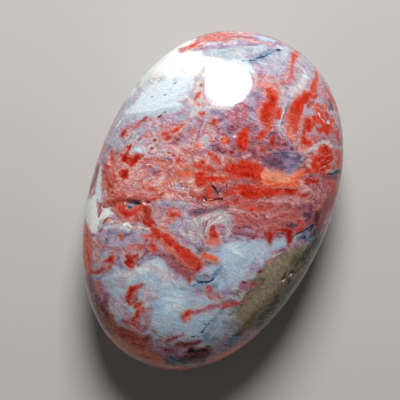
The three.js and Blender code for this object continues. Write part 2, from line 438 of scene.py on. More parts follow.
        (227,218,4)),
    "grey swirl's inside": ("mist", 3, (200,228,3), (201,236,3.5)),
    "grey swirl's lip": ("cream", 2.5, (207,232,1), (210,225,1.5), (217,220.5,1.5), (224,221,2),
        (228,226,1.5)),
    "swirl's right": ("mist", 4, (228,226,3), (228,234,3), (224,240,2.5)),
    "swirl's foot": ("slate", 4, (194,246,3), (203,246.5,3), (213,248.5,2.5)),
    "slate patch": ("dim lilac", 5, (110,229,6), (122,232,7), (132,234,4)),
    "slate patch's shade": ("violet", 5, (109,230,1), (105,241,2), (130,233,1.4)),
    "ash patch": ("lilac", 5, (114,241,5), (122,245,3.5)),
    "lilac crumbs": ("pale", 4, (105,228,2.5), (116,225,2.4), (124,227,3), (129,229,2)),
    "rose over the hook": ("rose red", 5, (131,246,4), (146,247,3), (150,249,3)),
    "left rose": ("rose lilac", 5, (96,240,3), (102,248,4), (118,250,3), (128,249,4)),
    "dusky left": ("rose lilac", 5, (112,253,4), (117,256,3), (132,270,3)),
    "dusky left low": ("dusky", 5, (108,267,4), (118,258,2)),
    "dusky by the hook": ("deep rose", 4, (137,261,4), (139,266,2), (148,251,3.4)),
    "blush chips": ("blush", 3, (94.5,237,2), (95.5,248,2), (98,262,3)),
    "cream crust": ("cream", 3, (101,222,2), (99,228,1.5)),
    "slate by the hook": ("slate", 4, (118,264,4), (124,261,2), (120,268,3)),
    "slate over the arch": ("slate", 3.5, (146,257,2.5), (156,255,3), (140,262,2)),
    "mauve over the arch": ("dusky", 5, (156,252,2), (168,257,3), (178,264,3), (194,272,2)),
    "pink over the arch": ("rose lilac", 4, (168,272,2.5), (175,277,2.5)),
    # The lower left
    # Partly the stone's red, partly painted warm reflection of the left rim
    "rust rim": ("red rust", 4, (85,226,3), (86,244,5), (87,262,4), (89,274,3)),
    "pale arch": ("pale", 8, (116,278,3), (130,275,4), (144,269,4), (154,265,4), (162,270,4), (168,280,4)),
    "slate flick": ("slate", 3, (97,279,1.5), (105,275,2), (113,271.5,1.5)),
    "grey arch": ("ash", 6, (108,284,4), (120,283,5), (124,288,3)),
    "lilac arch": ("pale lilac", 6, (144,291,4), (151,296,6), (147,300,4)),
    "lilac below": ("pale lilac", 6, (112,300,4), (120,308,8), (128,296,4), (134,296,2)),
    "sky left": ("sky", 7, (172,292,8), (168,306,9), (180,304,9), (168,324,8), (184,326,5)),
    "bright sky": ("bright sky", 10, (168,302,6), (175,307,6), (178,298,5), (166,310,4)),
    "pink low left": ("rose lilac", 5, (126,316,2), (134,319,4), (142,315,4), (148,310,3), (148,323,4)),
    "rose low left": ("rose red", 4, (139,321,3)),
    "dusky by the letter": ("deep rose", 4, (135,301,3), (136,292,2)),
    "beige low left": ("dusky mauve", 5, (124,321,3), (144,329,3)),
    "grey low left": ("brown grey", 7, (154,332,4), (162,340,5), (168,346,4)),
    "rose left low": ("wine", 7, (97,286,4), (106,296,3), (104,306,4)),
    "rim low left": ("dark rim", 8, (88,280,3), (94,296,4), (104,318,6), (114,330,4)),
    "rust low left": ("rust", 5, (112,317,2.5), (112,325,3)),
    # The lower left rim's band: partly the stone's rust, partly painted warm reflection
    "rust low": ("rust brown", 6, (123,329,3), (131,333,3.5), (138,337,3.5)),
    "brown low": ("rust brown", 8, (106,322,3), (118,333,6), (132,340,5), (148,345,5)),
    # Painted warm reflection along the bottom rim
    "rim low": ("bright rust", 8, (108,336,3), (122,345,5), (138,352.5,6), (160,362,6), (182,369,4)),
    # The lower middle
    "sky right": ("sky", 5, (230,246,4), (244,250,8), (262,248,7), (280,242,4), (300,236,4)),
    "sky by the moss": ("sky", 4, (266,251,3.5), (277,247.5,3), (290,243,2.5)),
    "ice right": ("bright sky", 10, (228,245,3), (234,251,5), (240,256,4)),
    "sky right's foot": ("sky", 6, (226,262,7), (240,262,7), (226,276,8), (234,282,6)),
    "steel right": ("steel", 5, (217,274,3), (223,275,4)),
    "slate under the lens": ("slate", 4, (206,249,2), (213,250.5,3), (218,250,2)),
    "bright sky right": ("sky", 5, (228,262,3.5), (227,268,2.5)),
    "slate under the folds": ("slate", 4, (218,245,2), (233,238,2), (242,240,3), (249,241,2.4)),
    "slate by the bar's end": ("charcoal", 4, (194,278,2.4), (199,277.5,3.8), (206,277,3)),
    "blue band": ("blue", 4, (208,281,1.5), (214,276,2), (218,271,2), (221,266,1)),
    "ash by the bar": ("dusk", 5, (200,252,4), (206,262,4), (214,263,4)),
    "lilac right": ("pale lilac", 6, (257,262,3), (252,270,4), (246,276,3)),
    "mauve by the moss": ("rose lilac", 3, (250,281,2), (243,287,3)),
    "steel middle": ("steel", 6, (184,288,3), (192,288,4), (200,288,4), (216,286,3)),
    "lilac middle low": ("dim lilac", 6, (196,292,3), (216,294,4), (228,291,4)),
    "pink middle low": ("rose lilac", 5, (206,291,1.5), (212,297,2.5), (222,298,3)),
    "wine round the ribbon": ("deep rose", 4, (222,303,2), (228,302,3), (234,303,3.5), (240,302,2)),
    "drab by the moss": ("brown grey", 5, (232,294,3), (240,292,4), (250,281,2), (234,308,4), (230,314,3)),
    "steel low": ("steel", 6, (222,314,3), (214,324,6), (224,326,6), (206,336,4), (214,338,4)),
    "sky by the lower dendrite": ("sky", 6, (219,322,3), (219,330,4), (212,334,2)),
    "sky low": ("sky", 6, (196,322,4), (204,320,3), (186,334,4)),
    "ash low": ("ash", 5, (174,330,3), (168,336,3), (186,338,3)),
    # The moss
    "moss": ("moss", 5, (312,247,4), (296,257,9), (278,272,14), (264,290,16), (252,309,14), (240,326,10)),
    "moss's top": ("brown moss", 5, (304,247,2.5), (292,252,3.5), (284,262,6), (274,266,6), (264,274,5)),
    "moss's heart": ("brown moss", 7, (286,268,6), (278,276,8), (270,287,8), (260,298,7), (248,311,6),
        (239,322,5)),
    "shade over the moss": ("dark blue", 3, (303,232,1.5), (309,228.5,3), (316,228,3), (315,236,2.5)),
    "charcoal over the moss": ("charcoal", 4, (299,238,2), (307,238,4), (314,241,3)),
    # Painted shade: the moss darkened along the lower right rim, which turns away from the key light
    "moss rim": ("umber", 5, (322,240,6), (313,260,11.5), (302,281,11.5), (286,305,13), (265,327,9)),
    "moss foot": ("charcoal", 7, (236,338,4), (232,344,4)),
    "grey foot of the moss": ("speckled grey", 6, (233,318,4), (236,327,5), (230,335,3)),
    "mauve foot": ("wine", 5, (168,350,3), (178,351,3)),
    "grey oval": ("charcoal", 5, (170,361,4), (184,362,4)),
    "brown black": ("soot", 6, (192,349,4), (190,356,5), (200,356,7), (208,350,3)),
    # Painted warm reflection along the bottom rim, to the right
    "rim low right": ("bright rust", 6, (212,360,4), (228,354,4), (246,346,4), (262,334,3)),
    # The top
    "top lens": ("lens", 3, (206,53,3), (220,54,5), (238,52,6), (254,50,5), (266,48,2)),
    "top lens' cream": ("cream", 4, (238,52,2.5), (250,50.5,2.5)),
    "top slate band": ("slate", 2.5, (194,49.5,1.5), (206,48.5,2.2), (222,47.5,1.8), (240,44,1.5),
        (262,44.5,1.5)),
    "top blush band": ("blush", 2, (182,50,3), (192,48,1.8), (206,44,1.5)),
    "top lilac band": ("pale lilac", 2, (216,43.5,1.5), (230,43.5,2.2), (245,40.5,1.5)),
    "top salmon": ("salmon", 2, (196,41,1.2), (207,38,3.2), (218,36,5), (228,36.5,4)),
    "top rose": ("thin haze", 2, (230,33,2.5), (244,33,2.5), (258,34.5,1.5)),
    "top blush": ("blush", 2, (232,38.5,1.5), (246,40,1.2), (256,42,1.2), (270,45,1)),
    "top sky": ("sky", 3, (254,36,1.5), (264,38.5,2.5), (274,42,1.5)),
    "top pearl": ("lens", 4, (278,46,2), (288,50,3), (284,56,3)),
    "top steel": ("steel", 3, (243,60,1), (252,60,2.5), (261,58,2.8), (269,54,2.4), (278,50.5,1.2)),
    "blue by the top's ink": ("blue", 5, (263,55,1), (269,53,2.2)),
}

# Where the streaks don't run level: which way they run, how soft the change is, and the line
FLOWS = {
    "plumes upper right": ("steep", 14, (262,90,14), (300,100,24), (326,120,14)),
    "left rim": ("steep", 10, (118,122,8), (102,170,8), (94,220,8)),
    "bar": ("falling", 10, (150,228,10), (176,250,12), (196,272,10)),
    "low middle": ("rising", 12, (206,330,14), (224,290,16), (262,256,12), (250,300,20)),
    "low left": ("rising", 12, (130,296,14), (160,330,14)),
}
# How far the streaks of each way are turned from level, in degrees
FLOW_TURNS = {"steep": 70, "falling": -42, "rising": 38}

# Plumes and patches: the colour, the colour and width of the skirt round it, and its lines of
# points, each with its half width, in pixels of the picture
PATCHES = {
    # The upper right
    "column's haze": ("pink", "blush", 4, [(261,83,2.6), (267,85,4.5), (274,87,4.5), (279,92,2.5)]),
    "column": ("poppy", "salmon", 2, [(270,91,3.8), (272.5,97,5.4), (273,103,4.6), (269,110,7.2),
        (268,117,6.4)]),
    "column's heart": ("scarlet", None, 1, [(273,97,1.5), (271,104,2), (266,110,3.6), (267,115,3.2)]),
    "column's arm": ("poppy", "dusky", 1, [(278.5,112,3), (279,116.5,2.8)]),
    "column's arm's heart": ("scarlet", None, 1, [(279.5,112,1.6), (280,116,1.4)]),
    "column's tail": ("poppy", "salmon", 3, [(268,121,3), (270,126,2), (271,130,1)]),
    "stem top": ("scarlet", "salmon", 1.5, [(316,71,.8), (316.5,78,1.8), (313.5,86,2.6)]),
    "stem": ("poppy", "salmon", 2, [(313.5,88,3), (310.5,93.5,4), (304,99,4.4), (299,102,5.2), (296,108,5),
        (294,117,6.4)]),
    "stem's heart": ("scarlet", None, 1, [(311,93,1.8), (303,100,2.2), (296,108,2.4), (293,117,4)]),
    "stem's foot": ("poppy", "salmon", 2, [(294,117,6), (294.5,125,5), (296,131,2.6), (298,135,1)]),
    "stem's lobe": ("scarlet", "blush", 1, [(302,105,3), (301,113,2)]),
    "stem's skirt": ("salmon", "blush", 2, [(288,127,1.4), (290,133,3), (294,139,1.6)]),
    "cluster's upper half": ("scarlet", "salmon", 1, [(308,120,3), (310,126,5), (310,130,2.4)],
        [(314,117,2), (320,117.5,2.5), (326,120,2)], [(317.5,112,1.6), (321,114.5,1.8)]),
    "cluster's dots": ("scarlet", "rose", 1, [(313,97,1.6), (316,95,1.2)], [(326,113,2.2), (328,116,1.5)]),
    "cluster's lower half": ("scarlet", "salmon", 1, [(322,130,4.5), (329,127,4.5), (327,132,3),
        (332,120,1.6)], [(313,120,3), (320,121,2.5), (323,124,2)]),
    "cluster stem": ("crimson", "salmon", 1, [(305,117,1), (305,128,1.2), (304,136,1.8)]),
    "cluster foot": ("scarlet", "salmon", 1, [(304,137,2.5), (305,143,3.8), (309,143.5,2.5)]),
    "cluster foot's skirt": ("salmon", "blush", 2, [(303,147,3), (306,149,1.5)]),
    "cluster rim": ("crimson", "rose", 1, [(333,132,2.2), (336,131,1)]),
    "cluster rim's foot": ("scarlet", "rose", 1, [(338,130,1), (338,136,2.3), (338,140,1.2)]),
    "rim streak": ("scarlet", "mauve", 1, [(327,91,1.3), (330,96,2), (335,104,1.6), (337,110,.8)]),
    "pale rim streak": ("salmon", "mauve", 1, [(325,97,.8), (325.5,104,1), (323,111,1.2)]),
    "dark blots": ("wine", "rose", 1, [(310,103,.9), (308,107,.8)]),
    "swirl": ("scarlet", "salmon", 1, [(318,151.5,1.5), (325,149.5,4.2), (328,152,4)], [(316.5,160,5),
        (323,158,7), (330,158,5), (317,166,6), (326,166,5.5)], [(318,170,2.5), (323,172,1.8)], [(309,171,2),
        (304,173,1.2)]),
    "swirl's edge": ("scarlet", "rose", 2, [(338,152,2), (340,158,2.5), (338,165,2)]),
    "streak": ("scarlet", "rose", 1, [(297,52,1.3), (294.5,55.5,2.2), (293,61,1)]),
    "streak's tail": ("rose", "blush", 2, [(292.5,64,1.4), (291.5,70,1.6), (290,77,1.2)]),
    # Under the light
    "tall blob": ("scarlet", "dusky", 2, [(246,131,2.4), (243.5,137,5), (242.5,144,5.8)]),
    "tall blob's foot": ("crimson", "dusky", 2, [(240,147,3), (243,149.5,2.5)]),
    "orange spot": ("scarlet", "rose", 1.5, [(224.5,140.8,3.6)]),
    "orange spot's core": ("coral", None, 1, [(224.5,140.3,1.8)]),
    "small red": ("crimson", "dusky", 1, [(273,138,2.2), (272,143,2)]),
    "small red by it": ("scarlet", "dusky", 1, [(264,132,2.4), (260,137,2.2)]),
    "small red below": ("crimson", "dusky", 2, [(262.5,149.5,2.6)]),
    "small red low": ("crimson", "dusky", 1, [(269.5,154,1), (269.5,157,1)]),
    "small brown": ("scarlet", "dusky", 1, [(253,136.5,1.2)]),
    "red under the light": ("scarlet", "salmon", 1, [(211,121,.8), (214,121.5,2.3), (216,124,1.2)]),
    "chain's top": ("wine", "blush", 1, [(201,85.5,.8), (203,87,.8)]),
    "chain's head": ("poppy", "blush", .5, [(200.5,93,.8), (197,97,1.9), (195,100,1)]),
    "chain's middle": ("salmon", "blush", 1, [(196,103,.8), (199,105,1.8), (202.5,104,1.2)]),
    "chain's foot": ("scarlet", "blush", 1, [(199,114,1), (202,113.5,1.5), (205,112.5,.8)]),
    "pink dot": ("coral", "blush", 2, [(198,145.5,2)]),
    # The middle
    "great plume": ("scarlet", "garnet", 2, [(230,168.5,6), (240,169.5,7.8), (250,170.5,8.8), (257,173,9),
        (259,178,5.6)]),
    "great plume's foot": ("scarlet", "garnet", 1, [(227,177,1.8), (235,178,2)]),
    "great plume's heart": ("crimson", None, 1, [(248,175,1), (256,177,1)]),
    "furry band": ("apricot", "blush", 2, [(267,176,4), (276,179,5), (288,180,5), (294,180,4)]),
    "furry band's edges": ("coral", None, 1, [(266,182.5,3.2), (276,185,2.6), (288,185.5,2.6),
        (296,184,2.4)], [(295,179,3.5), (299,177,2.5), (303,175,1.5)]),
    "furry tufts": ("apricot", None, 1, [(295,172.5,.8), (293,176,1.6)], [(283,174,.8), (284,177,1.4)],
        [(275,170.5,.8), (275.5,174.5,1.6)]),
    "furry band's left tuft": ("apricot", "blush", 1, [(265.5,169.5,1), (268,173,1.8)]),
    "red band": ("scarlet", "garnet", 2, [(240,188,3.5), (249,191,7), (258,192,6.5), (268,192,5),
        (280,191.5,3.5), (294,192,2.2)]),
    "red band's end": ("scarlet", "rose", 1, [(294,192,2), (304,197,1.5), (309,198,.8)]),
    "red band's foot": ("scarlet", "brick", 2, [(240,205,1), (249,208,1.7), (259,208.8,1.7), (267,207.8,1),
        (273,206,.7)]),
    "red band's fall": ("brick", "brick", 3, [(242,201.5,2), (254,203,2.6)]),
    "fold ring": ("scarlet", "garnet", 1, [(226,197,1.8), (226.5,193.5,2), (232,191,2.2), (235,195,1.3)],
        [(226,203,1.5), (234,203,2.2), (237,199,1)]),
    "round red": ("scarlet", "salmon", 2, [(201,178,5.8), (201,181,5.8)], [(207,179,2.5), (214,178.5,2.8),
        (223,180,2.4)]),
    "dark red": ("scarlet", "garnet", 1, [(209,187,2), (210,192,2.4), (207,194,1.5)]),
    "red fold": ("scarlet", "salmon", 1, [(194,165,1), (199,166,3), (203,162,2.2)]),
    "red fold's foot": ("poppy", "salmon", 1, [(204,166,1.8), (210,169,2.4), (215,171,1.2)]),
    "red arm": ("scarlet", "salmon", 1, [(209,154,2), (214,157.5,2.8), (219,163,1.8)]),
    "orange dash": ("coral", "salmon", 2, [(179,173.5,1.8), (184,174.5,3), (190,173,1.8)]),
    "orange blot": ("salmon", "blush", 1, [(182,166,2.5), (187,166,2)]),
    "dot by the dash": ("scarlet", "rose", 1, [(178,159,1.5), (178,162,1.2)]),
    "edge red": ("scarlet", "salmon", 1, [(208,197,1.5), (214,197.5,1.5)]),
    "garnet edge red": ("poppy", "garnet", 1.5, [(192,192.5,1.8), (197,196,2), (206,199,1.6)]),
    "edge salmon": ("salmon", "blush", 1, [(208,201,1.5), (214,202,1.8)]),
    "ledge": ("violet", "dusky", 1, [(192.5,213.5,3.2), (196,212.8,3.8), (202,211.6,2.8), (209,210.4,1.6),
        (214,209.8,.8)]),
    "salmon slope": ("salmon", "blush", 1, [(164,184,1.8), (170,181.5,2), (176,178,1.5)]),
    "salmon dash": ("scarlet", "salmon", 2, [(144,189,.9), (156,190,1)]),
    "salmon fork": ("salmon", "blush", 2, [(142,187,1), (148,184,1.5), (156,182,1)]),
    "thin rise": ("scarlet", "salmon", 1, [(149,200,.8), (156,198,1.2), (161,194.5,1.4), (163.5,192.5,.7)]),
    # The upper left
    "pale halo": ("blush", "mauve", 1, [(164,133,3.4), (168,138,4.4), (175,131,4), (184,124.5,2.4)]),
    "outlined patch": ("pink", "blush", 1.5, [(163,131.5,2), (166.5,136,3.6), (170,137.5,2.4),
        (165.5,141,1.5)]),
    "outlined patch's core": ("poppy", None, 1, [(163,133,1.2), (167.5,137,2), (166,140.5,1.2)]),
    "right outlined patch": ("salmon", "blush", 1.5, [(172,131.5,2.4), (177,128.5,2.4), (183,124.5,1.3)]),
    "right outlined patch's core": ("scarlet", None, 1, [(172,131,.8), (176.5,129.5,1.1)]),
    "eyes": ("pearl", "rose", 1, [(155.5,139,4.4)], [(152.5,148,5)]),
    "third eye": ("pearl", "blush", 1, [(168.5,152.5,2.8)]),
    "wine blot": ("wine", "mauve", 1, [(146,117,.8), (143.5,119.5,1)]),
    "red chain": ("rose", "lilac", 1, [(140,122,.8), (138,125.5,1.4), (135.5,128,1)], [(131,127.5,1),
        (128,128,1.4), (125,126,.6)]),
    "left blob": ("crimson", "rose", 1.5, [(125,132.5,1.2), (123.5,134.5,1.8), (121.5,137,.8)]),
    "claw's spike": ("crimson", "blush", 0, [(131.5,143.5,.9), (129.5,146.5,1.6), (128.5,150,1.5),
        (127,154,2.5)]),
    "claw": ("scarlet", "blush", 1, [(122,155.5,2.4), (124.5,158,4.4), (129,159,3), (133.5,161,4.8),
        (131.5,164,3)]),
    "claw's heart": ("crimson", None, 1, [(124,158,2), (129,159.5,1.2), (133,161.5,2.4)]),
    "claw's thumb": ("crimson", "blush", 0, [(135,160,3), (139,157.5,1.8), (142.5,155.5,.8)]),
    "round seed": ("scarlet", "blush", 1.5, [(124.5,173.5,4.9)]),
    "round seed's heart": ("crimson", None, 1, [(124.5,174,2.4)]),
    "rust stripe and hook": ("scarlet", "salmon", 1, [(112,152,1), (112.5,158,1.2), (113.5,164,.8)],
        [(104,163.5,1.2), (108,168,1.6)]),
    "dark rust stripe": ("crimson", "salmon", 2, [(106,174,1.2), (108,181,1.6), (111,187,1.2)]),
    "right rust stripe": ("scarlet", "salmon", 2, [(113,174,1.3), (115,180,1.4), (118,184,1)]),
    # Round the seam
    "rust by the seam": ("rust", "rust", 3, [(108,202,1.6), (115,202,2.6), (124,200,2.2)]),
    "red by the seam": ("brick", "salmon", 2.5, [(132,197.5,1.2), (139,196.5,1.6), (146,200,1.4)]),
    "arc": ("scarlet", "salmon", 4, [(118,206,1.4), (121,210.5,2.6), (127.5,213.5,3.2), (134,212,2.8),
        (139.5,206.5,2.4), (141,203,1.2)]),
    "arc's start": ("scarlet", "salmon", 1, [(119,205,1.5), (123,207,1.8)]),
    "dark blob": ("crimson", "salmon", 1, [(145,220.5,3.2), (150,222.5,5), (153,222,3)]),
    "dark blob's neck": ("rust", "salmon", 1.5, [(144,206,2.6), (146.5,212,4.4), (147.5,218,3.5)]),
    "bar's head": ("scarlet", "salmon", 2, [(151,227,1.8), (155,231,3.4), (159,235.5,3.8), (165,236,3),
        (171,240,3)]),
    "bar's head's lobe": ("scarlet", "salmon", 1, [(147,237,1), (150.5,235.5,1.7), (154.5,237.5,1.5)]),
    "bar's side": ("poppy", "rose", 2, [(166,244,3.4), (174,250,5.4), (182,257,6.4), (190,263,6.8),
        (196,265,6)]),
    "bar's stripes": ("salmon", None, 1, [(163,242,2.6), (168,247.5,3), (175,255.5,2)], [(168,249,.8),
        (178,259,1.2), (188,267,1)]),
    "bar": ("scarlet", None, 1, [(168,238.5,2.8), (173,243,3.2), (180,249.5,3.2), (188,256,2.8)]),
    "bar's end": ("crimson", None, 1, [(200,263,1.2), (198.5,267,2.2), (195,270,1.5)]),
    "second bar": ("wine", "mauve", 2, [(170,256,.8), (178,262,1.3), (187,269,1.4)]),
    "second bar's tail": ("crimson", "rose", 2, [(186,271,1.2), (190,275,1.8), (189,279,1.8),
        (188.5,282,1)]),
    "second bar's side": ("dusky", "dusky", 3, [(172,264,1.5), (180,270,2.6), (188,274,3), (193,272,2)]),
    "salmon mottle": ("salmon", "blush", 2, [(160,226,2), (165,230.5,1.6)]),
    "red beside the wedge": ("scarlet", "rose", 1, [(171,211,2), (173,215,2.6), (179,216,1.2)]),
    "dark dot": ("crimson", "mauve", 1, [(161,209,1)]),
    "almond": ("scarlet", "rose", 2, [(151,241,1.6), (152.3,245,2.6), (154.5,250,1.6)]),
    "almond's dashes": ("wine", "rose", 1, [(146,239,.7), (144,241,.6)]),
    "seed left": ("crimson", "coral", .5, [(120.5,236,1.3), (121.3,239.5,1.2)]),
    "hook": ("crimson", "blush", 1.5, [(127.5,257,3), (129.5,261.5,5), (131,265,3.4)]),
    "hook's tail": ("crimson", "blush", 1, [(131,258,1.6), (136,256,1.5), (139,252,1.1), (139,247.5,.7)]),
    "rim chain": ("crimson", "garnet", 1.5, [(91,271.5,2.4), (96,272.5,1.6), (101,270.5,1.7), (104,269,1)]),
    "rim chain's drops": ("crimson", "rose", 1, [(105,262,.9), (109,260.5,2.1), (112,257.5,1.2)],
        [(112,262.5,.8), (111.5,265,1.6)]),
    "lens": ("scarlet", "blush", 2, [(213,227,1.2), (213.5,230,2.4), (213.5,235.5,4.2), (213.5,238,4)]),
    "lens' foot": ("salmon", "blush", 1.5, [(209,240.5,2.8), (213.5,241.5,3.2), (218,241.5,2.8)]),
    "lens' core": ("crimson", None, 1, [(213.5,228.5,1), (213,235,1.8)]),
    "outlined oval": ("coral", "blush", 1, [(203,255,2), (209,256.5,2.8), (215.5,260.5,3)]),
    "oval's dots": ("scarlet", None, 1, [(203,255,.9)], [(215.5,260.5,1.6)]),
    # The lower left
    "rose blot": ("rose", "mauve", 3, [(97,284,2.5), (99,288,2.5)]),
    "letter's top": ("wine", "rose", 1, [(141.5,284.5,1.2), (137,286.5,1.5)]),
    "letter": ("scarlet", "salmon", 1, [(136,287,2), (132,289.5,2.8), (129.5,294,3.2), (128.5,300,2.8),
        (130,304,1.6)]),
    "letter's core": ("crimson", None, 1, [(134,288.5,1.3), (130.5,293.5,1.8), (129,302,1.4)]),
    "low hook's top": ("scarlet", "salmon", 1, [(137,306.5,2.1), (139.5,303.5,1.4), (141.5,302,.6)]),
    "low hook": ("crimson", "coral", .5, [(140,311,1.1), (137,315,1.9), (133.8,319,1.8), (133.3,324,1.5),
        (135.5,328,.7)]),
    "low hook's spur": ("scarlet", "salmon", 1, [(144,309.5,1.8), (142.5,311,1.2)]),
    "dark low": ("oxblood", "wine", 2, [(148,337,1), (146,340,2)]),
    "rim maroon": ("oxblood", "wine", 3, [(102,306,3), (106,314,3)]),
    # The lower middle
    "striped oval": ("scarlet", "salmon", 1, [(183,317,1.5), (187,313.5,2.6), (192,312,1.8)]),
    "striped oval's foot": ("salmon", "blush", 1, [(185,320,1.5), (190,318.5,1.5)]),
    "pink ribbon": ("mauve", "blush", 1, [(196,311.5,1.2), (206,309,1.8), (215,306,2.2), (220,305,2.2)]),
    "red ribbon": ("crimson", "rose", 1.2, [(226,305.5,1.6), (230.5,305,2.4), (235,304,1.7), (240,302,.8),
        (245.5,299.8,.8)]),
    "ribbon's heel": ("crimson", "rose", 1, [(224,306,.8), (222.5,309,1.1)]),
    "small low red": ("crimson", "rose", 1, [(207.5,288,.5), (210,290,1.3)]),
    "rose low line": ("rose", "blush", 1, [(207,293.5,.8), (212,298,.9), (216,301,.5)]),
    "wine seed": ("wine", "ash", 1, [(207,277,1)]),
    "dark lens low": ("oxblood", "wine", 1.5, [(176,345,1.3), (184,345.5,1.8), (192,344,1.4),
        (200,342,.8)]),
    "rose streak low": ("wine", "rose", 1, [(167,342,1), (174,338.5,.9), (183,334.5,.5)]),
    "rose by the moss": ("mauve", "lilac", 2, [(242,286,3), (247,286,3)]),
    "wine by the moss": ("wine", None, 1, [(243,283,1.4), (247,283,1.2)]),
    "red by the moss": ("crimson", "mauve", 1, [(250,286,1), (254,283.5,1.6)]),
    "slit": ("oxblood", "mauve", 1, [(257.5,272.8,.7), (261,271,1.1), (264.5,269,.8)]),
    "pink over the moss": ("mauve", "blush", 1, [(266.5,261.5,.8), (271,259.5,1)]),
    # Teeth
    "gum": ("crimson", "brick", 2, [(270,230,.8), (277,229.6,1.5), (285,230.6,1.9), (292,230,1.4)]),
    "gum's shade": ("plum", "wine", 2, [(284,224.6,1), (291,225.5,1.7), (297,226,1.2)]),
    "pale gum": ("brick", "rose", 4, [(282,215,2.5), (290,216,3), (298,216,2)]),
    "right gum": ("scarlet", "rose", 2, [(298,221,1.5), (303,228,2), (297,231,1.5)]),
    "teeth": ("crimson", "garnet", 1, [(266.5,234,2.5), (271,234,2.5), (269.5,239,2.4), (269.5,244,.7)],
        [(289,232,3.6), (289,239,2.8), (288.5,245,.8)]),
    "small tooth": ("wine", "rose", 1, [(255,236,2), (252,239,1)]),
    "rim tooth": ("oxblood", "wine", 1, [(318,224,2), (319,229,1.6), (318.5,234,.8)]),
    "reds right": ("crimson", "rose", 1, [(307.5,180,2.8), (308,182,2.8)], [(312.5,181.5,2.2),
        (317,180,2.8)]),
    "red on the right rim": ("scarlet", "garnet", 3, [(329,184,2), (334,187,3), (332,194,2)]),
    "brown right": ("oxblood", "wine", 3, [(318,214,3), (316,224,3)]),
    "top reds": ("scarlet", "salmon", 1.5, [(190,46,1.2), (194,44.5,1.6), (199,42.5,.7)], [(218,33,1),
        (222,34.5,1.4), (226,35.5,1)]),
}

